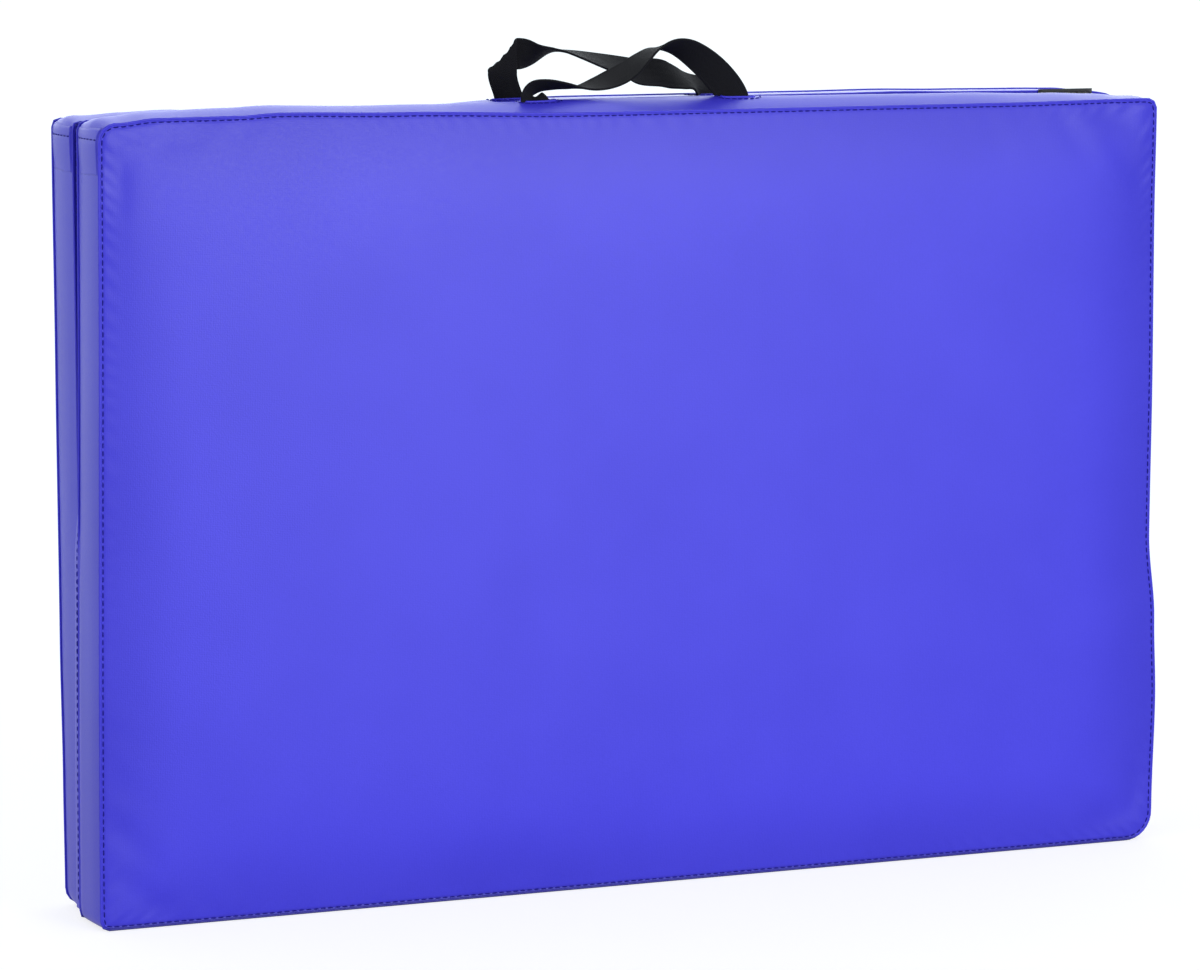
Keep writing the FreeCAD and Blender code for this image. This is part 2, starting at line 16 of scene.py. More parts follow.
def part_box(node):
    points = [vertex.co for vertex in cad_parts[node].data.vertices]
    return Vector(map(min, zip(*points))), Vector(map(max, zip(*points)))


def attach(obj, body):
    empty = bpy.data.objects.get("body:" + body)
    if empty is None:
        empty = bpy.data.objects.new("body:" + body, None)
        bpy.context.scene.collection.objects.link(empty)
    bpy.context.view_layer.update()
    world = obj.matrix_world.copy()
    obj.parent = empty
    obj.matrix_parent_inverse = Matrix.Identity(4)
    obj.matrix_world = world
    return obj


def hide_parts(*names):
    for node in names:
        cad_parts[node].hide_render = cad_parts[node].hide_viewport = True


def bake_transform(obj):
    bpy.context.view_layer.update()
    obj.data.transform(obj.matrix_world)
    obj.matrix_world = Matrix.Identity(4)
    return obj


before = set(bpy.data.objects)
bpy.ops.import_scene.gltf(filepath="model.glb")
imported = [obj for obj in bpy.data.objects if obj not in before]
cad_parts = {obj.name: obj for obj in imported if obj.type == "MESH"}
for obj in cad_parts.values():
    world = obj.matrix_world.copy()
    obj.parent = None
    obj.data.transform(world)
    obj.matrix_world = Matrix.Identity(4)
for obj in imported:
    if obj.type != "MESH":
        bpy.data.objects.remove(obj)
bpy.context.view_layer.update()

mm = 0.001
TINY = 1e-9

# ------------ the frame's own sizes

FLAP_LOW, FLAP_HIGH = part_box("front_fold_flap")
TAILS_LOW, TAILS_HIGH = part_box("front_handle_tails")
CROWN_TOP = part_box("front_top_boxing")[1].z
CHORD = 24.0 * mm  # from a panel's middle plane to either edge of the boxing
AXIS_X = FLAP_LOW.x - 0.1 * mm

# how far the sewn outline lies inside the frame's boxing: the foam pushes the ends and the floor edge
# nearly flat, while the top stays round
SEAM_FROM_END = 2.5 * mm
FOLD_END_CROWN = 1.5 * mm
SEAM_FROM_FLOOR = 1.5 * mm
SEAM_FROM_TOP = 6.5 * mm

# ------------ how finely the cover is divided

EDGE_INSETS = (0, 0.6, 1.1, 1.9, 2.9, 5.5)  # the profiles of a face's edge have a point at each of these
RING_INSETS = [i * mm for i in (*EDGE_INSETS, 12, 18)]
OUTER_EDGE = (25.2, 25.8, 25.9, 25.2, 25.75, 26.0)
INNER_EDGE = (24.9, 25.25, 25.2, 24.7, 25.1, 25.4)
STITCH_INSET = EDGE_INSETS[3] * mm
PINNED_RINGS = 5  # the simulation doesn't move a face's first rings
GRID_INSET = 24 * mm
GRID_STEP = 12 * mm
FAN_ZONE = 60 * mm
CROWD = 0.2  # grid lines stand this share closer together near the corners
LEAST_RADIUS = 0.3  # a ring further in keeps at least this share of its corner's radius
ACROSS = [d * mm for d in (23.4, 21.5, 18.5, 14.5, 11, 8.9, 8.0, 7.7, 3)]
CREASE_DEPTH = 24.4 * mm
CREASE_INSET = 0.6 * mm
OFF_FACE = -10 * mm  # stands for an inset on points that are not on a face

# ------------ how the boxing bulges

TOP_POWER, FLOOR_POWER, FULL_POWER = 1.4, 8, 12  # a higher power is flatter, with squarer shoulders
ZIP_FLAT = 0.42  # the share of the free end's boxing, out from the middle, that lies flat under the zip
FLUSH_BELOW, FLUSH_FADE = 337 * mm, 120 * mm  # the fold end is sewn up flush below this
ZIP_RISE = 0.4 * mm  # how far the zip's folded edges stand over its tapes
ZIP_FLOOR = 2.3 * mm
ZIP_LIP, ZIP_REACH = 7.8 * mm, 8.5 * mm  # where those edges begin and end, out from the middle
ZIP_FADE = 6 * mm
SQUARE_ON = 0.9  # the outline faces an end where this much of its normal does


def smooth(t):
    """0 below 0, 1 above 1, and an S curve between."""
    t = np.clip(t, 0.0, 1.0)
    return t * t * (3 - 2 * t)


def curve(x, points):
    """A smooth line through (place, height) points in millimetres, level at each of them."""
    x = np.asarray(x, float)
    out = np.full(x.shape, float(points[0][1]))
    for (x0, y0), (x1, y1) in zip(points, points[1:]):
        out = out + (y1 - y0) * smooth((x - x0) / (x1 - x0))
    return out


# ------------ the two panels

FOLD_CLOSE = 1.8 * mm
FOLD_REACH = 9 * mm
TOP_REACH = 170 * mm  # how far into a face the waves of its top edge and of its ends are felt
END_REACH = 130 * mm


class Panel:
    """One half of the mat: where it is, and how its sewn outline wanders from a plain rectangle."""

    def __init__(self, name, outward, seed, radii, inner_radii, **waves):
        low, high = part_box(f"{name}_bottom_boxing")[0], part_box(f"{name}_top_boxing")[1]
        self.name = name
        self.body = f"{name}_panel"
        self.outward = outward
        self.seed = seed
        self.middle = (low.y + high.y) / 2
        self.x0, self.x1 = low.x + SEAM_FROM_END, high.x - SEAM_FROM_END
        self.z0, self.z1 = low.z + SEAM_FROM_FLOOR, high.z - SEAM_FROM_TOP
        self.radii = radii
        self.inner_radii = inner_radii
        self.waves = waves

    def place(self, x, z, depth):
        """A point by its depth outwards from the middle plane. The inner edges close up at the fold."""
        near_fold = smooth(1 - (x - self.x0) / FOLD_REACH)
        close = FOLD_CLOSE * near_fold * np.clip(-depth / CHORD, 0, 1) ** 4
        return np.stack([x, self.middle + self.outward * (depth - close) + 0 * x, z], -1)

    def corner_radius(self, right, top, inner):
        """Radius of each corner; the outer and the inner face have their own."""
        radii = self.inner_radii if inner else self.radii
        low, high = (np.where(right, radii[f"{end} right"], radii[f"{end} left"]) for end in ("low", "high"))
        return np.where(top, high, low) * mm

    def wander(self, x, z):
        """How the foam and the sewing push the outline about, as offsets along X and Z."""
        from_left, height = (x - self.x0) / mm, (z - self.z0) / mm
        near_top = smooth(1 - (self.z1 - z) / TOP_REACH)
        near_left, near_right = (smooth(1 - gap / END_REACH) for gap in (x - self.x0, self.x1 - x))
        left, right = (curve(height, self.waves[side]) for side in ("left", "right"))
        aside = left * near_left + right * near_right
        return aside * mm, curve(from_left, self.waves["top"]) * near_top * mm


FRONT = Panel(
    "front", -1, 3,
    radii={"low left": 6, "low right": 22, "high left": 13, "high right": 7},
    inner_radii={"low left": 4, "low right": 18, "high left": 6, "high right": 9},
    top=[(0, 1.6), (15, 1.8), (45, 4.8), (110, 5.2), (146, 6.9), (240, 5.3), (400, 2.2), (770, 2.4),
         (900, 3.5)],
    left=[(0, -4.2), (610, 1.0)],
    right=[(0, 3), (27, 3.3), (120, 5.5), (185, 3.6), (255, -2.4), (385, -1.5), (520, -1.9), (610, -1)],
    crown=[(0, 4.6), (40, 5), (110, 6.2), (190, 5.2), (275, 6), (325, 8), (400, 10.4), (520, 10.2),
           (600, 9.4), (740, 8.7), (820, 6.8), (860, 5), (890, 2.5)],
)
BACK = Panel(
    "back", 1, 8,
    radii={"low left": 12, "low right": 16, "high left": 5, "high right": 24},
    inner_radii={"low left": 4, "low right": 16, "high left": 4, "high right": 22},
    top=[(0, 0.8), (18, 0.3), (45, 2), (80, 3.2), (130, 1), (250, 0), (430, 9.6), (640, 9.8), (700, 10.2),
         (760, 9.2), (830, 8.6), (865, 8), (906, 4)],
    left=[(0, 2.3), (99, 1.7), (210, 0.5), (430, -0.3), (590, -1)],
    right=[(0, 2), (200, -1), (420, 1), (600, 3.5)],
    crown=[(0, 4.5), (200, 5), (330, 5), (430, 1), (860, 0.8), (900, 1)],
)
PANELS = (FRONT, BACK)

# ------------ mesh helpers


def grid_faces(index):
    """Quads between neighbours in a grid of point numbers."""
    corners = [index[:-1, :-1], index[1:, :-1], index[1:, 1:], index[:-1, 1:]]
    return np.stack(corners, -1).reshape(-1, 4).tolist()


def wall_faces(index):
    """Quads between each ring of point numbers and the next; the second axis runs round the rings."""
    around = np.roll(index, -1, 1)
    return np.stack([index[:-1], around[:-1], around[1:], index[1:]], -1).reshape(-1, 4).tolist()


def rim(index):
    """The point numbers round the edge of a grid."""
    return np.concatenate([index[:-1, 0], index[-1, :-1], index[:0:-1, -1], index[0, :0:-1]])


def new_mesh(name, verts, faces, attributes=None):
    """An object made from points and faces, with its normals pointing out."""
    mesh = bpy.data.meshes.new(name)
    mesh.from_pydata([tuple(v) for v in verts], [], faces)
    for key, values in (attributes or {}).items():
        layer = mesh.attributes.new(key, "FLOAT", "POINT")
        layer.data.foreach_set("value", np.asarray(values, np.float32))
    bm = bmesh.new()
    bm.from_mesh(mesh)
    bmesh.ops.recalc_face_normals(bm, faces=bm.faces)
    bm.to_mesh(mesh)
    bm.free()
    obj = bpy.data.objects.new(name, mesh)
    bpy.context.scene.collection.objects.link(obj)
    return obj


def coordinates(mesh):
    co = np.empty(len(mesh.vertices) * 3)
    mesh.vertices.foreach_get("co", co)
    return co.reshape(-1, 3)


def set_coordinates(mesh, co):
    mesh.vertices.foreach_set("co", np.asarray(co, np.float32).ravel())
    mesh.update()


def vertex_normals(mesh):
    normals = np.empty(len(mesh.vertices) * 3)
    mesh.vertex_normals.foreach_get("vector", normals)
    return normals.reshape(-1, 3)


def attribute(mesh, name):
    values = np.empty(len(mesh.vertices), np.float32)
    mesh.attributes[name].data.foreach_get("value", values)
    return values.astype(float)


def subdivide(obj):
    """Applies one subdivision, so that what follows works on the finer mesh."""
    modifier = obj.modifiers.new("Subdivision", "SUBSURF")
    modifier.levels = modifier.render_levels = 1
    graph = bpy.context.evaluated_depsgraph_get()
    finer = bpy.data.meshes.new_from_object(obj.evaluated_get(graph), depsgraph=graph)
    obj.modifiers.clear()
    obj.data = finer


def finish_piece(obj, body, material, slot, *stands_for):
    """Gives a piece its material, its body if it rides on one, and the nodes it stands for. The slot is not
    used.
    """
    obj.data.polygons.foreach_set("use_smooth", [True] * len(obj.data.polygons))
    obj.data.materials.clear()
    obj.data.materials.append(material)
    if body:
        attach(obj, body)
    if stands_for:
        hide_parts(*stands_for)
    return obj


# ------------ the sewn cover


def spread(count):
    """Places from 0 to 1 for the lines of the cover's grid, closer together near both ends."""
    u = np.linspace(0, 1, count + 1)
    return u - CROWD * np.sin(2 * np.pi * u) / (2 * np.pi)


def ring(panel, inset, counts, inner=False):
    """Points round the panel at one distance inside its seam, with the corners rounded."""
    width, height = panel.x1 - panel.x0 - 2 * inset, panel.z1 - panel.z0 - 2 * inset
    across, up = spread(counts[0])[:-1], spread(counts[1])[:-1]
    x = np.concatenate([across * width, np.full(len(up), width), (1 - across) * width, np.zeros(len(up))])
    z = np.concatenate([np.zeros(len(across)), up * height, np.full(len(across), height), (1 - up) * height])
    right, top = x > width / 2, z > height / 2
    a, b = np.where(right, width - x, x), np.where(top, height - z, z)
    radius = panel.corner_radius(right, top, inner)
    radius = np.maximum(radius - inset, LEAST_RADIUS * radius * max(0.0, 1 - inset / GRID_INSET))
    travel = np.maximum(a, b)
    bow = np.pi * radius / 4
    path = travel * (FAN_ZONE - radius + bow) / FAN_ZONE
    angle = 1.25 * np.pi + path / np.maximum(radius, TINY)
    in_bow = path < bow
    along = np.where(in_bow, radius + radius * np.cos(angle), radius + path - bow)
    inward = np.where(in_bow, radius + radius * np.sin(angle), 0.0)
    far = travel >= FAN_ZONE
    along, inward = np.where(far, travel, along), np.where(far, 0.0, inward)
    a, b = np.where(a >= b, along, inward), np.where(a >= b, inward, along)
    x = np.where(right, width - a, a) + panel.x0 + inset
    z = np.where(top, height - b, b) + panel.z0 + inset
    return x, z


def face_profile(inset, inner):
    """Depth of a face near its seam: a rolled edge, a ridge, the topstitch's groove, then the flat."""
    return np.interp(inset / mm, EDGE_INSETS, INNER_EDGE if inner else OUTER_EDGE) * mm


def seam_between(seams, depth):
    """The panel's outline at one depth, between those of the outer and the inner face."""
    share = smooth((1 + depth / CHORD) / 2)
    return seams[1] * share + seams[-1] * (1 - share)


def outline_normal(outline):
    """Unit vectors square to a closed outline in X and Z, pointing out of it."""
    ahead = np.roll(outline, -1, 1) - np.roll(outline, 1, 1)
    ahead /= np.linalg.norm(ahead, axis=0)
    return np.stack([ahead[1], -ahead[0]])


def boxing_offset(panel, seam, normal, depth):
    """How far the boxing strip bulges past the seams at one depth, by the side of the panel it is on."""
    x, z = seam
    right, left = np.clip(normal[0], 0, 1) ** 2, np.clip(-normal[0], 0, 1) ** 2
    top, bottom = np.clip(normal[1], 0, 1) ** 2, np.clip(-normal[1], 0, 1) ** 2
    crown = top * curve((x - panel.x0) / mm, panel.waves["crown"]) * mm
    crown = crown + bottom * SEAM_FROM_FLOOR + left * FOLD_END_CROWN + right * SEAM_FROM_END
    across = abs(depth) / CHORD
    share = top * (1 - across ** TOP_POWER) + bottom * (1 - across ** FLOOR_POWER) + left * (1 - across ** 2)
    share = share + right * (1 - max(0, (across - ZIP_FLAT) / (1 - ZIP_FLAT)) ** 2)
    if depth < 0:  # the lower half of the fold end is sewn up flush, so its inner shoulder is full
        full = left * smooth((FLUSH_BELOW - z) / FLUSH_FADE)
        share = share + full * (across ** 2 - across ** FULL_POWER)
    return crown * share


def zip_bed(panel, x, z, normal, depth):
    """Sinks the free end's boxing under the zip, and lifts its folded edges level with the tapes."""
    if abs(depth) > ZIP_REACH:
        return x
    low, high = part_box(f"{panel.name}_zip_tapes")
    run = smooth((z - low.z) / ZIP_FADE) * smooth((high.z - z) / ZIP_FADE) * (normal[0] > SQUARE_ON)
    bed = np.maximum(x, high.x + ZIP_RISE) if abs(depth) > ZIP_LIP else low.x - ZIP_FLOOR
    return x + run * (bed - x)


def cover_mesh(panel):
    """The whole cover as one closed mesh: outer face, boxing and inner face."""
    spans = (panel.x1 - panel.x0 - 2 * GRID_INSET, panel.z1 - panel.z0 - 2 * GRID_INSET)
    cells = [round(span / GRID_STEP) for span in spans]
    counts = [cell * 2 for cell in cells]
    verts, faces, insets, alongs, zones = [], [], [], [], []

    seams = {side: np.stack(ring(panel, 0, counts, side < 0)) for side in (1, -1)}
    steps = np.linalg.norm(np.diff(seams[1], append=seams[1][:, :1]), axis=0)
    along = np.concatenate([[0], np.cumsum(steps)[:-1]])

    def add(x, z, depth, inset, length, zone):
        first = sum(len(v) for v in verts)
        verts.append(panel.place(x, z, depth))
        insets.append(np.broadcast_to(inset, x.shape))
        alongs.append(np.broadcast_to(length, x.shape))
        zones.append(np.full(x.shape, float(zone)))
        return np.arange(first, first + x.size)

    def add_face(inner):
        side = -1 if inner else 1
        rings = []
        for inset in RING_INSETS:
            x, z = ring(panel, inset, counts, inner)
            dx, dz = panel.wander(x, z)
            rings.append(add(x + dx, z + dz, side * face_profile(inset, inner), inset, along, side))
        gx, gz = (start + GRID_INSET + spread(cell) * span
                  for start, cell, span in zip((panel.x0, panel.z0), cells, spans))
        x, z = (v.ravel() for v in np.meshgrid(gx, gz, indexing="ij"))
        dx, dz = panel.wander(x, z)
        inset = np.minimum(np.minimum(x - panel.x0, panel.x1 - x), np.minimum(z - panel.z0, panel.z1 - z))
        index = add(x + dx, z + dz, side * face_profile(GRID_INSET, inner), inset, 0, side)
        index = index.reshape(cells[0] + 1, cells[1] + 1)
        faces.extend(grid_faces(index))
        edge, outer = rim(index), rings[-1]
        for k in range(len(edge)):  # the rings have two steps for each of the grid's
            follow = (2 * k + 2) % len(outer)
            faces.append([edge[k], outer[2 * k], outer[2 * k + 1], outer[follow], edge[(k + 1) % len(edge)]])
        return rings

    def boxing_ring(depth, crease=0.0):
        seam = seam_between(seams, depth)
        normal = outline_normal(seam)
        offset = -crease if crease else boxing_offset(panel, seam, normal, depth)
        x, z = seam + np.stack(panel.wander(*seam)) + normal * offset
        return add(zip_bed(panel, x, z, normal, depth), z, depth, OFF_FACE, along, 0)

    outer, inner = add_face(False), add_face(True)
    boxing = [boxing_ring(CREASE_DEPTH, CREASE_INSET)]
    boxing += [boxing_ring(depth) for depth in ACROSS + [0.0] + [-d for d in reversed(ACROSS)]]
    boxing.append(boxing_ring(-CREASE_DEPTH, CREASE_INSET))
    faces.extend(wall_faces(np.stack(outer[::-1] + boxing + inner)))

    attributes = {"inset": insets, "along": alongs, "zone": zones}
    attributes = {key: np.concatenate(values) for key, values in attributes.items()}
    cover = new_mesh(f"{panel.name}_cover", np.concatenate(verts), faces, attributes)
    pinned = np.concatenate(outer[:PINNED_RINGS] + inner[:PINNED_RINGS] + boxing)
    return cover, pinned, (outer[0], inner[0]), [outline_normal(seams[side]) for side in (1, -1)]


OUTER_SWELL, INNER_SWELL = 7.0 * mm, 0.8 * mm
SHOULDER = 60 * mm  # how far in from its seam a face keeps rising
SHOULDER_POWER = 2.6
STEPS = 20
CLOTH = {
    "quality": 5, "mass": 0.3, "tension_stiffness": 20, "compression_stiffness": 20, "shear_stiffness": 12,
    "bending_stiffness": 1.0, "vertex_group_mass": "sewn", "shrink_min": -0.001, "use_pressure": True,
    "uniform_pressure_force": 4.0,
}


def reach_of(cover):
    """How far each point may move from where it was sewn: nothing at a seam, most over the flat."""
    inset, zone = attribute(cover.data, "inset"), attribute(cover.data, "zone")
    rise = 1 - (1 - np.clip((inset - STITCH_INSET) / SHOULDER, 0, 1)) ** SHOULDER_POWER
    return rise * np.select([zone > 0.5, zone < -0.5], [OUTER_SWELL, INNER_SWELL], 0.0)


def inflate(cover, pinned):
    """Swells the cover as its foam does."""
    reach = reach_of(cover)
    rest = coordinates(cover.data)
    cover.vertex_groups.new(name="sewn").add([int(i) for i in pinned], 1.0, "REPLACE")
    cloth = cover.modifiers.new("Cloth", "CLOTH")
    for key, value in CLOTH.items():
        setattr(cloth.settings, key, value)
    cloth.settings.effector_weights.gravity = 0
    cloth.point_cache.frame_start, cloth.point_cache.frame_end = 1, STEPS
    for number in range(1, STEPS + 1):
        bpy.context.scene.frame_set(number)
    graph = bpy.context.evaluated_depsgraph_get()
    move = coordinates(cover.evaluated_get(graph).to_mesh()) - rest
    cover.evaluated_get(graph).to_mesh_clear()
    cover.modifiers.clear()
    bpy.context.scene.frame_set(1)
    length = np.linalg.norm(move, axis=1)
    capped = reach * np.tanh(length / np.maximum(reach, TINY))
    held = np.where(length > 0, capped / np.maximum(length, TINY), 0)
    set_coordinates(cover.data, rest + move * held[:, None])


PUCKER_INSET, PUCKER_WIDTH, PUCKER_PITCH = 6.5 * mm, 4.5 * mm, 15 * mm
PUCKER_HEIGHT = 0.16 * mm
CORNER_HEIGHT, CORNER_REACH = 0.5 * mm, 45 * mm  # what a corner adds to that height, and how far


def pucker(cover, panel):
    """Gathers the vinyl along its topstitching: short folds square to the seam, stronger near corners."""
    mesh = cover.data
    inset, along, zone = (attribute(mesh, key) for key in ("inset", "along", "zone"))
    co = coordinates(mesh)
    x, z = co[:, 0], co[:, 2]
    corner = np.minimum(x - panel.x0, panel.x1 - x) + np.minimum(z - panel.z0, panel.z1 - z)
    height = PUCKER_HEIGHT + CORNER_HEIGHT * np.exp(-np.maximum(corner, 0) / CORNER_REACH)
    uneven = 0.6 * np.sin(along / (61 * mm) + panel.seed) + 0.4 * np.sin(along / (23 * mm))
    wave = np.sin(2 * np.pi * (along / PUCKER_PITCH + uneven))
    wave = wave * (0.6 + 0.4 * np.sin(along / (97 * mm) + 2 * panel.seed))
    beside = np.exp(-((inset - PUCKER_INSET) / PUCKER_WIDTH) ** 2)
    lift = height * wave * beside * (np.abs(zone) > 0.5)
    set_coordinates(mesh, co + vertex_normals(mesh) * lift[:, None])


COVER_PARTS = (
    "outer_face", "inner_face", "top_boxing", "bottom_boxing", "fold_end_boxing", "free_end_outer_boxing",
    "free_end_inner_boxing", "foam_outer_layer", "foam_inner_layer", "handle_patches",
)


def sewn_cover(panel):
    """Builds a panel's cover, and keeps its seams and its surface for what is sewn to it."""
    cover, pinned, seam_indices, normals = cover_mesh(panel)
    inflate(cover, pinned)
    base = coordinates(cover.data)
    panel.seams = {}
    for key, seam, normal in zip(("outer", "inner"), seam_indices, normals):
        panel.seams[key] = (base[seam], np.stack([normal[0], np.zeros(normal.shape[1]), normal[1]], -1))
    subdivide(cover)
    pucker(cover, panel)
    panel.surface = surface_tree(cover)
    finish_piece(cover, panel.body, VINYL, "vinyl", *[f"{panel.name}_{part}" for part in COVER_PARTS])


# ------------ tubes, rows of thread and patches

STITCH_LENGTH = 4.4 * mm
STITCH_PITCH = 6.0 * mm
TIGHT_PITCH = 5 * mm  # round the slits and the tapes
STITCH_RADIUS = 0.52 * mm
STITCH_SIDES = 6
STITCH_RINGS = ((-0.5, 0.3), (-0.36, 0.85), (-0.12, 1.0), (0.12, 1.0), (0.36, 0.85), (0.5, 0.3))
STITCH_ARCH = 0.3 * mm
STITCH_LIFT = 0.12 * mm


def tube(name, centres, sideways, radius, sides=8):
    """A closed cord round a loop of centres. Sideways holds a unit vector square to the loop at each."""
    ahead = np.roll(centres, -1, 0) - np.roll(centres, 1, 0)
    ahead /= np.linalg.norm(ahead, axis=1)[:, None]
    second = np.cross(ahead, sideways)
    angles = np.arange(sides) * 2 * np.pi / sides
    verts = [centres + radius * (np.cos(a) * sideways + np.sin(a) * second) for a in angles]
    index = np.arange(sides * len(centres)).reshape(sides, -1)
    return new_mesh(name, np.concatenate(verts), wall_faces(np.vstack([index, index[:1]])))


def rods(name, verts, rings):
    """Many closed rods in one mesh. Verts holds the points of all rods for each corner of each ring."""
    count = len(verts[0])
    index = np.arange(len(verts) * count).reshape(rings, -1, count)
    ends = index[0, ::-1].T.tolist() + index[-1].T.tolist()
    return new_mesh(name, np.concatenate(verts), wall_faces(index) + ends)


def shell(name, top, bottom):
    """A thin closed piece between two grids of points of the same shape."""
    rows, columns = top.shape[:2]
    index = np.arange(2 * rows * columns).reshape(2, rows, columns)
    faces = grid_faces(index[0]) + grid_faces(index[1]) + wall_faces(np.stack([rim(side) for side in index]))
    return new_mesh(name, np.concatenate([top.reshape(-1, 3), bottom.reshape(-1, 3)]), faces)


def resample(path, pitch, closed=False):
    """Points at an even pitch along a path, each with the direction the path takes there."""
    path = np.asarray(path, float)
    if closed:
        path = np.vstack([path, path[:1]])
    length = np.concatenate([[0], np.cumsum(np.linalg.norm(np.diff(path, axis=0), axis=1))])
    count = max(1, int(length[-1] / pitch))
    places = (np.arange(count) + 0.5) * length[-1] / count
    points, further = (np.stack([np.interp(at, length, column) for column in path.T], -1)
                       for at in (places, places + 0.3 * mm))
    ahead = further - points
    return points, ahead / np.linalg.norm(ahead, axis=1)[:, None]


def surface_tree(obj):
    faces = [tuple(p.vertices) for p in obj.data.polygons]
    return BVHTree.FromPolygons([v.co for v in obj.data.vertices], faces)


def raised(found, lift):
    """The places that a search of a surface found, raised off it, and the surface's normals there."""
    normals = np.array([f[1] for f in found])
    lift = np.broadcast_to(lift, len(found))
    return np.array([f[0] for f in found]) + normals * lift[:, None], normals


def nearest_on(tree, points, lift):
    """The nearest points of a surface."""
    return raised([tree.find_nearest(Vector(p)) for p in points], lift)


def cast_on(tree, points, left, lift):
    """Where lines along X from beyond an end meet a surface."""
    towards = Vector((1 if left else -1, 0, 0))
    found = []
    for point in points:
        hit = tree.ray_cast(Vector(point), towards)
        found.append(hit if hit[0] else tree.find_nearest(Vector(point)))
    return raised(found, lift)


def stitches(name, rows, body, material):
    """Thread lying in short arched lengths. Rows is a list of (points, directions, normals)."""
    points, ahead, normals = (np.concatenate([row[k] for row in rows]) for k in range(3))
    ahead = ahead - normals * np.sum(ahead * normals, axis=1)[:, None]
    ahead /= np.linalg.norm(ahead, axis=1)[:, None]
    side = np.cross(ahead, normals)
    verts = []
    for place, width in STITCH_RINGS:
        arch = STITCH_ARCH * (0.6 - (2 * place) ** 2)
        centre = points + ahead * place * STITCH_LENGTH + normals * arch
        for a in np.arange(STITCH_SIDES) * 2 * np.pi / STITCH_SIDES:
            verts.append(centre + (side * math.cos(a) + normals * math.sin(a)) * STITCH_RADIUS * width)
    return finish_piece(rods(name, verts, len(STITCH_RINGS)), body, material, "thread")


# ------------ seams of one panel

PIPING_RADIUS = 1.05 * mm
PIPING_OUT, PIPING_IN = 0.25 * mm, 0.35 * mm  # the cord stands out of the seam, and behind the face
SEAM_STEPS = (120, 80)
LAP_LOW, LAP_HIGH = 576 * mm, 611.5 * mm
LAP_SEAM = 603.5 * mm
LAP_HALF_WIDTH = 22.5 * mm
LAP_LIFT = 0.8 * mm
LAP_SINK, LAP_SINK_REACH = 0.25 * mm, 1.2 * mm  # the thread pulls the lap down this much, this near
LAP_UNDER = 0.6 * mm
LAP_GRID = (19, 15)
LAP_RISE = 0.7  # it rises to its full lift over this share of its height
LAP_WAVE, LAP_WAVELENGTH = 0.5 * mm, 9 * mm
LAP_SEAM_SHARE = 0.93  # of its width that is sewn
BEYOND_END = 20 * mm
ZIP_SEAM = 11.5 * mm  # from the middle of the zip to the stitches that hold its tapes


def piping(panel, key):
    """The cord sewn into the seam between a face and the boxing."""
    points, sideways = panel.seams[key]
    inward = np.array([0, panel.outward * (-1 if key == "outer" else 1), 0])
    centres = points + sideways * PIPING_OUT + inward * PIPING_IN
    cord = tube(f"{panel.name}_{key}_piping", centres, sideways, PIPING_RADIUS)
    finish_piece(cord, panel.body, VINYL, "vinyl", f"{panel.name}_{key}_welt")


def nearest_row(panel, path, pitch):
    """A closed row of stitches, on the cover where it is nearest to a path."""
    points, ahead = resample(path, pitch, closed=True)
    placed, normals = nearest_on(panel.surface, points, STITCH_LIFT)
    return placed, ahead, normals


def topstitch_row(panel, inner):
    """Stitches all round one face, in the groove beside the seam."""
    x, z = ring(panel, STITCH_INSET, SEAM_STEPS, inner)
    dx, dz = panel.wander(x, z)
    depth = (-1 if inner else 1) * face_profile(STITCH_INSET, inner)
    return nearest_row(panel, panel.place(x + dx, z + dz, depth), STITCH_PITCH)


def beyond_end(panel, left, z, depth):
    """Points beyond the boxing of either end, for finding a surface there."""
    z, depth = np.broadcast_arrays(z, depth)
    x = np.full(z.shape, panel.x0 - BEYOND_END if left else panel.x1 + BEYOND_END)
    return np.stack([x, panel.middle + panel.outward * depth, z], -1)


def end_row(panel, tree, left, z, depth):
    """An open row of stitches on the surface at either end."""
    points, ahead = resample(beyond_end(panel, left, z, depth), STITCH_PITCH)
    placed, normals = cast_on(tree, points, left, STITCH_LIFT)
    return placed, ahead, normals


def lap(panel, left):
    """The folded top edge of an end boxing, lying over the boxing that comes round the corner."""
    lowest = LAP_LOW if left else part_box(f"{panel.name}_zip_tapes")[1].z + 1 * mm
    levels = np.linspace(lowest, LAP_HIGH, LAP_GRID[0])
    depths = np.linspace(-1, 1, LAP_GRID[1]) * LAP_HALF_WIDTH
    z, depth = np.meshgrid(levels, depths, indexing="ij")
    z = z + LAP_WAVE * np.sin(depth / LAP_WAVELENGTH)
    guess = beyond_end(panel, left, z, depth).reshape(-1, 3)
    lift = LAP_LIFT * smooth((z - lowest) / (LAP_RISE * (LAP_HIGH - lowest)))
    lift = lift - LAP_SINK * (np.abs(z - LAP_SEAM) < LAP_SINK_REACH)
    top, bottom = (cast_on(panel.surface, guess, left, off)[0].reshape(*z.shape, 3)
                   for off in (lift.ravel(), -LAP_UNDER))
    piece = shell(f"{panel.name}_{'fold' if left else 'free'}_end_lap", top, bottom)
    return finish_piece(piece, panel.body, VINYL, "vinyl")


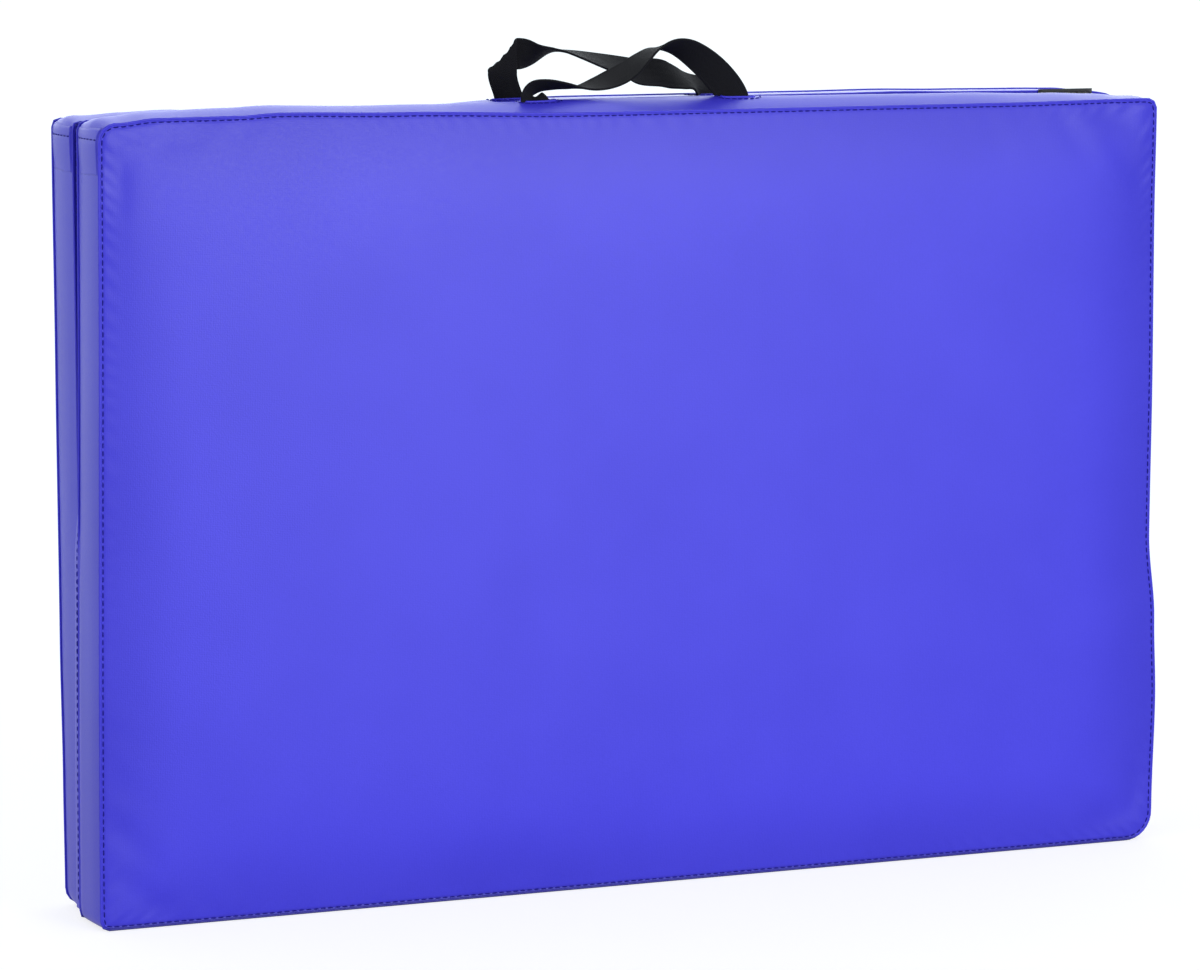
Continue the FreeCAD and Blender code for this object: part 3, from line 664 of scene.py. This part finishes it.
def seam_threads(panel):
    """The laps at both ends, and every row of stitches on the cover."""
    rows = [topstitch_row(panel, inner) for inner in (False, True)]
    for left in (True, False):
        across = np.linspace(-1, 1, 30) * LAP_SEAM_SHARE * LAP_HALF_WIDTH
        rows.append(end_row(panel, surface_tree(lap(panel, left)), left, LAP_SEAM, across))
    low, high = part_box(f"{panel.name}_zip_tapes")
    for depth in (-ZIP_SEAM, ZIP_SEAM):
        rows.append(end_row(panel, panel.surface, False, np.linspace(low.z, high.z, 40), depth))
    for _, centre in SLITS:
        rows.append(nearest_row(panel, slit_points(panel, centre, *SLIT_SEAM), TIGHT_PITCH))
    stitches(f"{panel.name}_stitching", rows, panel.body, THREAD)


# ------------ the fold strip

STRIP_LOW = FLAP_LOW.z
STRIP_HIGH = FLAP_HIGH.z + 3 * mm
STRIP_WIDTH = 21.5 * mm
STRIP_HALF = 2.2 * mm
STRIP_THICK = 0.9 * mm
STRIP_SPREAD = 1.1 * mm  # how much wider it stands where it is sewn to the inner faces
BAND_HALF = 7 * mm  # the flush band over the lower half of the fold
BAND_THICK = 0.8 * mm
BAND_STAND = 2.2 * mm
BAND_TAPER = 60 * mm  # its top narrows and turns in over this height
BAND_NARROWS = 0.6
SINK_LOW, SINK_HIGH = 0.15 * mm, 4.8 * mm  # how deep the fold lies low down, and how much deeper above
SINK_FROM, SINK_FADE = 270 * mm, 100 * mm


def over_the_fold(piece):
    """Bakes a piece's transform into its points, where it already lies over the fold."""
    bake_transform(piece)


def strip_sink(z):
    """How deep the strip's folded edge lies: sewn flush low down, drawn in higher up."""
    wave = 0.15 * mm * np.sin(z / (43 * mm))
    return SINK_LOW + SINK_HIGH * smooth((z - SINK_FROM) / SINK_FADE) + wave


def strip_section(half, sink, width):
    """One side of the strip's section as (X from the axis, Y) points: leg, round fold, leg."""
    leg = np.linspace(width, sink + half, 9)
    wide = half + STRIP_SPREAD * smooth((leg - 5 * mm) / (9 * mm))
    turn = np.linspace(np.pi / 2, 3 * np.pi / 2, 9)[1:-1]
    near = np.stack([leg, -wide], -1)
    bow = np.stack([sink + half + half * np.cos(turn), -half * np.sin(turn)], -1)
    return np.concatenate([near, bow, near[::-1] * (1, -1)])


def band_shift(z):
    """The lower end of the fold stands out a little, with the front panel's end."""
    return -BAND_STAND * smooth(1 - z / FLUSH_BELOW)


def fold_band():
    """A flat band of vinyl over the lower half of the fold, where the two ends are sewn up flush."""
    levels, places = np.linspace(STRIP_LOW - 6 * mm, FLUSH_BELOW, 90), np.linspace(-1, 1, 17)
    z, across = np.meshgrid(levels, places, indexing="ij")
    near_top = smooth((z - FLUSH_BELOW + BAND_TAPER) / BAND_TAPER)
    inward = (0.1 + 0.5 * across ** 4 + 2.6 * near_top + 0.12 * np.sin(z / (31 * mm))) * mm
    x = AXIS_X + band_shift(z) + inward
    y = across * BAND_HALF * (1 - BAND_NARROWS * near_top)
    band = shell("fold_band", np.stack([x, y, z], -1), np.stack([x + BAND_THICK, y, z], -1))
    over_the_fold(finish_piece(band, None, VINYL, "vinyl"))


def fold_strip():
    """The vinyl strip that joins the panels: sewn to both inner faces and folded on the hinge axis."""
    sides = []
    for thick in (0, STRIP_THICK):
        rows = []
        for z in np.linspace(STRIP_LOW, STRIP_HIGH, 110):
            section = strip_section(STRIP_HALF - thick, strip_sink(z) + thick, STRIP_WIDTH)
            rows.append(np.column_stack([AXIS_X + section[:, 0], section[:, 1], np.full(len(section), z)]))
        sides.append(np.array(rows))
    strip = shell("fold_strip", *sides)
    over_the_fold(finish_piece(strip, None, VINYL, "vinyl", "front_fold_flap", "back_fold_flap",
                               "fold_stitches"))


def fold_threads():
    """Stitches up the folded edge, and where the strip is sewn to each inner face."""
    z = np.arange(STRIP_LOW + 3 * mm, STRIP_HIGH, STITCH_PITCH)

    def upright(x, y, facing):
        up, out = (np.tile(np.array(way, float), (len(z), 1)) for way in ((0, 0, 1), facing))
        return [(np.column_stack(np.broadcast_arrays(x, y, z)), up, out)]

    edge = AXIS_X + strip_sink(z) + band_shift(z)
    over_the_fold(stitches("fold_stitching", upright(edge, 0.0, (-1, 0, 0)), None, THREAD))
    for panel in PANELS:
        leg = panel.outward * (STRIP_HALF - STRIP_THICK + STRIP_SPREAD)
        row = upright(AXIS_X + STRIP_WIDTH - 3 * mm, leg, (0, -panel.outward, 0))
        stitches(f"{panel.name}_strip_stitching", row, panel.body, THREAD)


# ------------ webbing handles

WEB_WIDTH = 25 * mm
WEB_THICK = 1.7 * mm
WEB_STEP = 1.6 * mm
FOLD_RADIUS = 1.3 * mm
FOOT = -8 * mm  # the webbing begins this far under the top
HANDLE_X = (FRONT.x0 + FRONT.x1) / 2
HANDLE_HALF = (TAILS_HIGH.x - TAILS_LOW.x - WEB_WIDTH) / 2
SLITS = (("left", HANDLE_X - HANDLE_HALF), ("right", HANDLE_X + HANDLE_HALF))
SLIT_POINTS = 64
SLIT_SEAM, SLIT_LIP = (18.5 * mm, 7 * mm), (14.2 * mm, 2.6 * mm)  # half the length and half the width
LIP_RADIUS, LIP_LIFT = 0.75 * mm, 0.1 * mm
LEAN_HEIGHT = 24 * mm


def spline(stations, step):
    """Even samples of a smooth path through stations: three values for the position, then any more."""
    stations = np.asarray(stations, float)
    padded = np.vstack([2 * stations[0] - stations[1], stations, 2 * stations[-1] - stations[-2]])
    fine = []
    for k in range(1, len(padded) - 2):
        p0, p1, p2, p3 = padded[k - 1:k + 3]
        t = np.linspace(0, 1, 24, endpoint=False)[:, None]
        fine.append(0.5 * (2 * p1 + (p2 - p0) * t + (2 * p0 - 5 * p1 + 4 * p2 - p3) * t ** 2
                           + (3 * p1 - p0 - 3 * p2 + p3) * t ** 3))
    fine = np.vstack(fine + [stations[-1:]])
    length = np.concatenate([[0], np.cumsum(np.linalg.norm(np.diff(fine[:, :3], axis=0), axis=1))])
    places = np.linspace(0, length[-1], max(2, int(length[-1] / step)))
    return np.stack([np.interp(places, length, column) for column in fine.T], -1)


def web_section():
    """Points round the webbing's section as (across, through), with slightly fuller selvedges."""
    half, thin, full = WEB_WIDTH / 2, WEB_THICK / 2, WEB_THICK * 0.58
    edge = [(half, 0.35 * full), (half - 0.5 * mm, full), (half - 1.6 * mm, full), (half - 2.3 * mm, thin),
            (half / 2, thin)]
    upper = [(-a, b) for a, b in edge] + [(0, thin)] + edge[::-1]
    return np.array(upper + [(a, -b) for a, b in reversed(upper)])


def swept_rings(stations, section):
    """Rings of a ribbon along stations of (x, y, z, twist in degrees), in metres."""
    path = spline(stations, WEB_STEP)
    ahead = np.gradient(path[:, :3], axis=0)
    ahead /= np.linalg.norm(ahead, axis=1)[:, None]
    across = np.cross([0, 1, 0], ahead)
    across /= np.linalg.norm(across, axis=1)[:, None]
    through = np.cross(ahead, across)
    twist = np.radians(path[:, 3])[:, None]
    width = np.cos(twist) * across + np.sin(twist) * through
    normal = -np.sin(twist) * across + np.cos(twist) * through
    offset = section[None, :, :1] * width[:, None] + section[None, :, 1:] * normal[:, None]
    return path[:, None, :3] + offset


def creased_rings(start_x, lean, crease, section):
    """Rings of a ribbon that rises, then folds flat over a 45 degree crease to run along +X."""
    rings = []
    end = crease + WEB_WIDTH / 2 + math.sqrt(2) * math.pi * FOLD_RADIUS + 1 * mm
    beyond = np.array([-1, 0, 1]) / math.sqrt(2)
    for s in np.arange(FOOT, end, WEB_STEP / 2):
        shift = start_x + lean * float(smooth(s / LEAN_HEIGHT))
        rings.append([])
        for across, through in section:
            flat = np.array([shift + across, 0, s])
            past = (s - crease - across) / math.sqrt(2)
            angle = min(max(past / FOLD_RADIUS, 0), math.pi)
            over = min(0, math.pi * FOLD_RADIUS - past)
            base = flat if past <= 0 else flat + beyond * (over + FOLD_RADIUS * math.sin(angle) - past)
            normal = np.array([0, math.cos(angle), 0]) - beyond * math.sin(angle)
            out = np.array([0, FOLD_RADIUS * (1 - math.cos(angle)), 0])
            rings[-1].append(base + out + normal * through)
    return np.array(rings)


def ribbon(name, rings):
    """A closed ribbon from rings of section points, with its length and width kept for the weave."""
    count, sides = rings.shape[:2]
    index = np.arange(count * sides).reshape(count, sides)
    faces = wall_faces(index) + [index[0].tolist(), index[-1][::-1].tolist()]
    steps = np.linalg.norm(np.diff(rings.mean(axis=1), axis=0), axis=1)
    length = np.repeat(np.concatenate([[0], np.cumsum(steps)]), sides)
    across = np.tile(web_section()[:, 0], count)
    return new_mesh(name, rings.reshape(-1, 3), faces, {"length": length, "across": across})


def handle(panel, rings):
    """Puts a handle's webbing over its panel, above the top boxing."""
    web = ribbon(f"{panel.name}_strap", rings + np.array([HANDLE_X, panel.middle, CROWN_TOP]))
    subdivide(web)
    finish_piece(web, None, WEBBING, "webbing", f"{panel.name}_handle", f"{panel.name}_handle_tails")
    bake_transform(web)


def front_handle():
    """Rises at the left, lies down and twists, rocks back and arches over to the right."""
    stations = [
        (-86, 0, -8, 0), (-87, 0, 0, 5), (-92, 1, 7, 30), (-90, 3, 13, 50), (-78, 6, 16, 66),
        (-62, 9, 15.5, 78), (-46, 10, 14, 90), (-32, 9, 16.5, 106), (-18, 7, 21.5, 116), (-6, 5, 28, 113),
        (5, 3, 37, 100), (15, 1, 44, 86), (27, 0, 46.5, 68), (40, -1, 43.5, 52), (55, -1, 34, 36),
        (70, 0, 21, 20), (82, 0, 6, 6), (86, 0, -8, 0),
    ]
    return swept_rings(np.array(stations) * (mm, mm, mm, 1), web_section())


def back_handle():
    """Creases sharply at the left, then runs across, twisting half a turn, and dips at the right."""
    first = creased_rings(-HANDLE_HALF, -6 * mm, 36.5 * mm, web_section())
    start = first[-1].mean(axis=0)
    stations = [
        (-64, 2, 38.7, 225), (-50, 1, 41, 258), (-42, 0, 41, 270), (-27, -1, 37.8, 283), (-5, -2, 32, 299),
        (11, -2, 28.2, 308), (25, -2, 23.7, 326), (43, -2, 22.5, 332), (52, -2, 20, 325),
        (62, -2, 17.5, 310), (72, -1, 14.6, 300), (82, 0, 8, 330), (86, 0, 0, 360), (86, 0, -8, 360),
    ]
    rows = [(*start, 180)] + [(x * mm, y * mm, z * mm, twist) for x, y, z, twist in stations]
    return np.concatenate([first, swept_rings(rows, web_section())[1:]])


def slit_points(panel, centre, half_length, half_width):
    """A rounded slot outline on the top boxing, round one end of a handle."""
    angles = np.arange(SLIT_POINTS) * 2 * np.pi / SLIT_POINTS
    cosine, sine = np.cos(angles), np.sin(angles)
    straight = (half_length - half_width) * np.sign(cosine) * np.abs(cosine) ** 0.4
    x = centre + straight + half_width * cosine
    y = panel.middle + half_width * np.sign(sine) * np.abs(sine) ** 0.6
    return np.column_stack([x, y, np.full(SLIT_POINTS, CROWN_TOP)])


def slit_lips(panel):
    """A turned vinyl edge round each slit that the webbing comes out of."""
    for side, centre in SLITS:
        outline = slit_points(panel, centre, *SLIT_LIP)
        points, normals = nearest_on(panel.surface, outline, LIP_LIFT)
        lip = tube(f"{panel.name}_{side}_slit_lip", points, normals, LIP_RADIUS, 6)
        finish_piece(lip, panel.body, VINYL, "vinyl")


# ------------ hook and loop tapes

TAPE_BACK = 2.9 * mm  # depth of the tape's sewn side from the parting plane
TAPE_FRONT = 2.0 * mm
TAPE_TALLER = 1.2 * mm  # the hook tape stands this much over its node
TAPE_SEAM = 1.4 * mm
TAPE_BORDER = 3.0 * mm
HOOK_PITCH = 3.0 * mm
HOOK_WIRE = 0.22 * mm
HOOK_SPINE = [(0.1, 0), (-0.5, 0.05), (-1.0, 0.3), (-1.2, 0.75), (-0.95, 1.15)]  # (out, up)
LOOP_NAP, LEAST_NAP = 1.15 * mm, 0.35
WOVEN_EDGE = 2 * mm


def tape_grid(node, step, depth, taller=0.0):
    """A flat grid of points over a tape's node, and the tape's corners."""
    low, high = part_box(node)
    high.z += taller
    x, z = (np.linspace(a, b, max(2, round((b - a) / step))) for a, b in ((low.x, high.x), (low.z, high.z)))
    x, z = np.meshgrid(x, z, indexing="ij")
    return np.stack([x, np.full(x.shape, depth), z], -1), (low, high)


def tape_stitches(name, node, body, depth, facing):
    """Stitches down both long edges of a tape and across its ends."""
    low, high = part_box(node)
    left, right, foot, head = low.x + TAPE_SEAM, high.x - TAPE_SEAM, low.z + TAPE_SEAM, high.z - TAPE_SEAM
    corners = [(left, depth, foot), (right, depth, foot), (right, depth, head), (left, depth, head)]
    points, ahead = resample(corners, TIGHT_PITCH, closed=True)
    rows = [(points, ahead, np.tile([0.0, facing, 0], (len(points), 1)))]
    stitches(name, rows, body, BLACK_THREAD)


def hook_tape():
    """The hook half, on the back panel: a woven base with rows of small bent hooks."""
    node = "back_hook_strip"
    top, (low, high) = tape_grid(node, 4 * mm, TAPE_FRONT, TAPE_TALLER)
    base = shell("hook_tape", top, top + np.array([0, TAPE_BACK - TAPE_FRONT, 0]))
    finish_piece(base, "back_panel", HOOKS, "hook_and_loop", node)

    x = np.arange(low.x + TAPE_BORDER, high.x - TAPE_BORDER / 2, HOOK_PITCH)
    z = np.arange(low.z + TAPE_BORDER, high.z - TAPE_BORDER, HOOK_PITCH)
    x, z = (v.ravel() for v in np.meshgrid(x, z, indexing="ij"))
    z = z + (np.round(x / HOOK_PITCH) % 2) * HOOK_PITCH / 2
    verts = []
    for out, up in HOOK_SPINE:
        for a, b in ((1, 0), (0, 1), (-1, 0), (0, -1)):
            y = np.full(x.shape, TAPE_FRONT + out * mm)
            verts.append(np.stack([x + a * HOOK_WIRE, y, z + up * mm + b * HOOK_WIRE], -1))
    finish_piece(rods("hook_tape_hooks", verts, len(HOOK_SPINE)), "back_panel", HOOKS, "hook_and_loop")
    tape_stitches("hook_tape_stitching", node, "back_panel", TAPE_FRONT, -1)


def loop_tape():
    """The loop half, on the front panel: a napped face between two flat woven borders."""
    node = "front_loop_strip"
    top, (low, high) = tape_grid(node, 1.6 * mm, -TAPE_FRONT)
    bottom = top - np.array([0, TAPE_BACK - TAPE_FRONT, 0])
    x, z = top[..., 0], top[..., 2]
    inside = np.minimum(np.minimum(x - low.x, high.x - x), np.minimum(z - low.z, high.z - z))
    nap = np.random.default_rng(11).uniform(LEAST_NAP, 1.0, top.shape[:2])
    top[..., 1] += nap * LOOP_NAP * smooth((inside - WOVEN_EDGE) / WOVEN_EDGE)
    finish_piece(shell("loop_tape", top, bottom), "front_panel", LOOPS, "hook_and_loop", node)
    tape_stitches("loop_tape_stitching", node, "front_panel", -TAPE_FRONT, 1)


# ------------ zips

TOOTH_PITCH = 2.2 * mm
TOOTH_MIDDLE = 1.1  # in millimetres, like the outline below
TOOTH_LAYERS = ((-1.0, 0.8), (-0.6, 1.0), (0.6, 1.0), (1.0, 0.8))  # (out of the zip, share of the outline)
TOOTH_SIDE = [(3.0, 0.35), (2.6, 0.5), (0.9, 0.42), (0.2, 0.62), (-0.5, 0.62), (-0.75, 0.3)]
TOOTH = TOOTH_SIDE + [(across, -up) for across, up in reversed(TOOTH_SIDE)]


def zip_teeth(panel):
    """Moulded coil turns on both tapes, meshing down the middle of the zip."""
    low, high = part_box(f"{panel.name}_zip_coils")
    count = int((high.z - low.z) / TOOTH_PITCH)
    side = np.repeat([-1, 1], count)
    level = low.z + (np.tile(np.arange(count), 2) + 0.5 + side * 0.25) * TOOTH_PITCH
    verts = []
    for out, share in TOOTH_LAYERS:
        for across, up in TOOTH:
            x = np.full(level.shape, (low.x + high.x) / 2 + out * mm)
            y = panel.middle + side * (TOOTH_MIDDLE + (across - TOOTH_MIDDLE) * share) * mm
            verts.append(np.stack([x, y, level + up * share * mm], -1))
    teeth = rods(f"{panel.name}_zip_teeth", verts, len(TOOTH_LAYERS))
    finish_piece(teeth, panel.body, COIL, "zip_coil", f"{panel.name}_zip_coils")


def zip_metal_and_tape(panel):
    """The frame's own zip parts keep their shape and get better materials."""
    for part, material in (("tapes", TAPE), ("stops", METAL), ("slider", METAL), ("pull", METAL)):
        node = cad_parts[f"{panel.name}_zip_{part}"]
        node.data.materials.clear()
        node.data.materials.append(material)


# ------------ materials


def fill(node, inputs):
    """Fills a node's inputs, by name or number: a socket is linked, and anything else is the value."""
    for key, value in inputs.items():
        if isinstance(value, bpy.types.NodeSocket):
            node.id_data.links.new(value, node.inputs[key])
        else:
            node.inputs[key].default_value = value


def node_maker(tree):
    """A function that adds a node to a tree, fills it and gives back one of its outputs."""

    def make(kind, *values, out=0, **named):
        node = tree.nodes.new("ShaderNode" + kind)
        inputs = dict(enumerate(values))
        for key, value in named.items():
            label = key.replace("_", " ")
            if label in node.inputs:
                inputs[label] = value
            else:
                setattr(node, key, value)
        fill(node, inputs)
        return node.outputs[out]

    return make


def new_material(name):
    material = bpy.data.materials.new(name)
    material.use_nodes = True
    shader = next(n for n in material.node_tree.nodes if n.type == "BSDF_PRINCIPLED")
    return material, shader, node_maker(material.node_tree)


def ramp(make, value, *stops):
    """A colour that runs between two stops of (place, colour)."""
    colour = make("ValToRGB", value)
    for element, (place, tint) in zip(colour.node.color_ramp.elements, stops):
        element.position, element.color = place, tint
    return colour


def eased(make, value, start, end, low, high):
    """Runs from low to high in an S curve as the value goes from start to end."""
    return make("MapRange", value, start, end, low, high, interpolation_type="SMOOTHSTEP")


def sum_of(make, one, factor, two):
    return make("Math", one, factor, two, operation="MULTIPLY_ADD")


def darker(colour, share):
    return tuple(c * share for c in colour[:3]) + (1,)


def linear(red, green, blue, alpha=1.0):
    """An sRGB colour, 0 to 255, as the linear values that shaders use."""
    def one(c):
        c /= 255
        return c / 12.92 if c <= 0.04045 else ((c + 0.055) / 1.055) ** 2.4
    return one(red), one(green), one(blue), alpha


PAINTED_EDGE_SHADE = 0.86  # painted shade: the vinyl's colour is scaled by this on the boxing, on pieces that carry no inset, and at a face's seams
# how far into a face the painted shade eases back to the vinyl's own colour
PAINTED_SHADE_REACH = 75 * mm
FLOOR_CONTACT_SHADE, CONTACT_SHADE_HEIGHT = 0.3, 6 * mm  # painted contact shadow: the vinyl's colour is scaled down to this share at the floor, easing back over this height
SCRIM_PITCH = 2.2 * mm


def vinyl_material(name, colour, deep):
    """Calendered vinyl over a woven scrim: fine grain, slow colour drift, a soft shine."""
    material, shader, make = new_material(name)
    place = make("TexCoord", out="Object")
    drift = make("TexNoise", Vector=place, Scale=9.0, Detail=3.0)
    mottle = make("TexNoise", Vector=place, Scale=420.0, Detail=4.0, Roughness=0.65)
    tint = ramp(make, sum_of(make, mottle, 0.55, drift), (0.55, deep), (0.95, colour))
    # painted shade: darker on the boxing and at the seams, easing to the plain colour over the face
    inset = make("Attribute", attribute_name="inset", out="Fac")
    shade = eased(make, inset, 0.0, PAINTED_SHADE_REACH, PAINTED_EDGE_SHADE, 1.0)
    # painted contact shadow: darker towards the floor; it is multiplied with the painted seam shade below
    contact_shade = eased(make, make("SeparateXYZ", place, out="Z"), 0.0, CONTACT_SHADE_HEIGHT, FLOOR_CONTACT_SHADE, 1.0)
    both = make("Math", shade, contact_shade, operation="MULTIPLY")

    warp, weft = (make("TexWave", Vector=place, Scale=1 / SCRIM_PITCH / 2, Distortion=1.2, Detail_Scale=2.0,
                       bands_direction=axis, out="Fac") for axis in ("X", "Z"))
    scrim = make("Math", warp, weft, operation="ADD")
    grain = make("TexVoronoi", Vector=place, Scale=900.0, feature="SMOOTH_F1", out="Distance")
    height = sum_of(make, scrim, 0.25, grain)
    fill(shader, {
        "Base Color": make("VectorMath", tint, operation="SCALE", Scale=both),
        "Roughness": make("MapRange", mottle, To_Min=0.36, To_Max=0.5),
        "Normal": make("Bump", Strength=0.3, Distance=0.15 * mm, Height=height),
        "Specular IOR Level": 0.3,
    })
    return material


def plain_material(name, colour, roughness, scale, metallic=0.0, depth=0.1 * mm, shine=0.5):
    """Thread, tape, metal: a colour that drifts a little and a fine grain of its own."""
    material, shader, make = new_material(name)
    noise = make("TexNoise", Vector=make("TexCoord", out="Object"), Scale=scale, Detail=5.0)
    fill(shader, {
        "Base Color": ramp(make, noise, (0.3, darker(colour, 0.72)), (0.7, colour)),
        "Roughness": make("MapRange", noise, To_Min=roughness * 0.8, To_Max=roughness * 1.15),
        "Normal": make("Bump", Strength=0.4, Distance=depth, Height=noise),
        "Metallic": metallic,
        "Specular IOR Level": shine,
    })
    return material


def webbing_material(name, colour):
    """Polypropylene webbing: a chevron twill drawn from each point's place along and across the strap."""
    material, shader, make = new_material(name)
    along, across = (make("Attribute", attribute_name=key, out="Fac") for key in ("length", "across"))

    def ribs(value, pitch):
        turn = make("Math", value, 2 * math.pi / pitch, operation="MULTIPLY")
        return make("Math", turn, operation="SINE")

    zigzag = make("Math", across, 3.1 * mm, operation="PINGPONG")
    twill = sum_of(make, ribs(across, 1.3 * mm), 0.35, ribs(sum_of(make, zigzag, 0.9, along), 1.5 * mm))
    fuzz = make("TexNoise", Vector=make("TexCoord", out="Object"), Scale=1500.0, Detail=4.0)
    height = sum_of(make, fuzz, 0.8, twill)
    fill(shader, {
        "Base Color": ramp(make, sum_of(make, height, 0.3, fuzz), (0.0, darker(colour, 0.35)), (1.0, colour)),
        "Normal": make("Bump", Strength=0.7, Distance=0.2 * mm, Height=height),
        "Roughness": 0.8,
        "Specular IOR Level": 0.15,
    })
    return material


VINYL = vinyl_material("blue_vinyl", linear(66, 61, 224), linear(61, 56, 218))
THREAD = plain_material("navy_thread", linear(36, 32, 142), 0.9, 2500, shine=0.15)
BLACK_THREAD = plain_material("black_thread", linear(26, 26, 30), 0.7, 2500)
WEBBING = webbing_material("black_webbing", linear(19, 19, 24))
HOOKS = plain_material("hook_nylon", linear(30, 30, 34), 0.45, 900)
LOOPS = plain_material("loop_nylon", linear(34, 34, 38), 0.9, 1800, depth=0.4 * mm)
TAPE = plain_material("zip_tape_weave", linear(38, 36, 120), 0.8, 1600)
COIL = plain_material("zip_coil_nylon", linear(40, 38, 128), 0.4, 900)
METAL = plain_material("zip_nickel", linear(168, 168, 172), 0.3, 700, metallic=1.0, depth=0.03 * mm)

# ------------ stage: floor, light and camera

AMBIENT = 0.3  # what the white surround gives to matt surfaces
PLAIN = 1.1  # bright enough to be plain white to the camera in every channel
WHITE = (0.93, 1.0, 1.04, 1)
SHEEN_FRONT, SHEEN_BACK = 0.6, 3.5  # how bright shiny surfaces mirror it, before and behind the mat
SHEEN_START, SHEEN_END = -0.3, 0.95
BRIGHT_SIDE = (0.6, 0.8, 0)  # the way from the mat to the brightest part behind it
FLOOR_SHEEN = 1.25
FLOOR_GLOW = 0.75
FLOOR_DIM = 0.1  # the floor's own light as the mat sees it
FLOOR_GREY = 0.4
FLOOR_NEAR, FLOOR_FAR = 0.6, 1.4  # the floor fades to the surround between these distances, in metres
FLOOR_HALF = 60
LAMPS = (
    # name, place, size, power
    ("key", (1.3, -4.6, 0.98), 1.8, 142),
    ("overhead", (0.1, 0.5, 3.0), 3.0, 9),
    ("side", (-3.6, -1.4, 1.5), 1.6, 46),
)
LAMPS_AIM = (0, 0, 0.3)
CAMERA_PLACE = (-1.6184, -3.6409, 0.82)
CAMERA_TURN = (23.671, 7.23, 0.037)  # yaw, pitch and roll, in degrees
LENS, SENSOR = 150.31, 36


def by_kind_of_ray(make, matt, shiny, plain):
    """A light's strength as matt surfaces, shiny ones and the camera see it."""
    strength = matt
    for ray, other in (("Is Glossy Ray", shiny), ("Is Camera Ray", plain)):
        strength = make("MapRange", make("LightPath", out=ray), To_Min=strength, To_Max=other)
    return strength


def floor_material():
    """Pale and softly lit near the mat, fading to the plain white of the surround."""
    material, shader, make = new_material("pale_floor")
    pale = darker((FLOOR_GREY,) * 3, 1)
    fill(shader, {
        "Base Color": ramp(make, make("TexNoise", Scale=3.0), (0.0, darker(pale, 0.95)), (1.0, pale)),
        "Roughness": 0.9,
        "Emission Color": (1, 1, 1, 1),
        "Emission Strength": by_kind_of_ray(make, FLOOR_DIM, FLOOR_GLOW, FLOOR_GLOW),
    })
    distance = make("VectorMath", make("TexCoord", out="Object"), operation="LENGTH", out="Value")
    fade = make("MapRange", distance, FLOOR_NEAR, FLOOR_FAR, interpolation_type="SMOOTHSTEP")
    white = make("Emission", WHITE, by_kind_of_ray(make, AMBIENT, FLOOR_SHEEN, PLAIN))
    output = next(n for n in material.node_tree.nodes if n.type == "OUTPUT_MATERIAL")
    fill(output, {"Surface": make("MixShader", fade, shader.outputs[0], white)})
    return material


def surround():
    """A white world: plain to the camera, dim to matt surfaces, brighter behind where vinyl mirrors it."""
    world = bpy.data.worlds.new("studio")
    world.use_nodes = True
    make = node_maker(world.node_tree)
    way = make("TexCoord", out="Generated")
    behind = make("VectorMath", way, BRIGHT_SIDE, operation="DOT_PRODUCT", out="Value")
    sheen = eased(make, behind, SHEEN_START, SHEEN_END, SHEEN_FRONT, SHEEN_BACK)
    level = by_kind_of_ray(make, AMBIENT, sheen, PLAIN)
    fill(world.node_tree.nodes["Background"], {"Color": WHITE, "Strength": level})
    bpy.context.scene.world = world


def put(name, data, place=(0, 0, 0)):
    """Puts a lamp or the camera into the scene."""
    holder = bpy.data.objects.new(name, data)
    holder.location = place
    bpy.context.scene.collection.objects.link(holder)
    return holder


def stage():
    """The floor, the white surround and soft lights: in front, overhead and at the fold end."""
    corners = [(x * FLOOR_HALF, y * FLOOR_HALF, 0) for x, y in ((-1, -1), (1, -1), (1, 1), (-1, 1))]
    floor = new_mesh("floor", corners, [(0, 1, 2, 3)])
    floor.location.z = -0.2 * mm
    floor.data.materials.append(floor_material())
    surround()
    for name, where, size, power in LAMPS:
        lamp = bpy.data.lights.new(name, "AREA")
        lamp.size, lamp.energy = size, power
        aim = Vector(LAMPS_AIM) - Vector(where)
        put(name, lamp, where).rotation_euler = aim.to_track_quat("-Z", "Y").to_euler()


def camera():
    """A long lens to the front left, a little above the mat."""
    lens = bpy.data.cameras.new("camera")
    lens.lens, lens.sensor_width, lens.clip_end = LENS, SENSOR, 100
    yaw, pitch, roll = (math.radians(a) for a in CAMERA_TURN)
    turn = Matrix.Rotation(roll, 3, "Y") @ Matrix.Rotation(pitch, 3, "X") @ Matrix.Rotation(yaw, 3, "Z")
    right, forward, up = turn
    holder = put("camera", lens)
    holder.matrix_world = Matrix((right, up, -forward)).transposed().to_4x4()
    holder.location = CAMERA_PLACE
    bpy.context.scene.camera = holder
    bpy.context.scene.view_settings.view_transform = "Standard"


stage()
camera()
for panel in PANELS:
    sewn_cover(panel)
    piping(panel, "outer")
    piping(panel, "inner")
    seam_threads(panel)
    slit_lips(panel)
    zip_teeth(panel)
    zip_metal_and_tape(panel)
fold_band()
fold_strip()
fold_threads()
hook_tape()
loop_tape()
handle(FRONT, front_handle())
handle(BACK, back_handle())
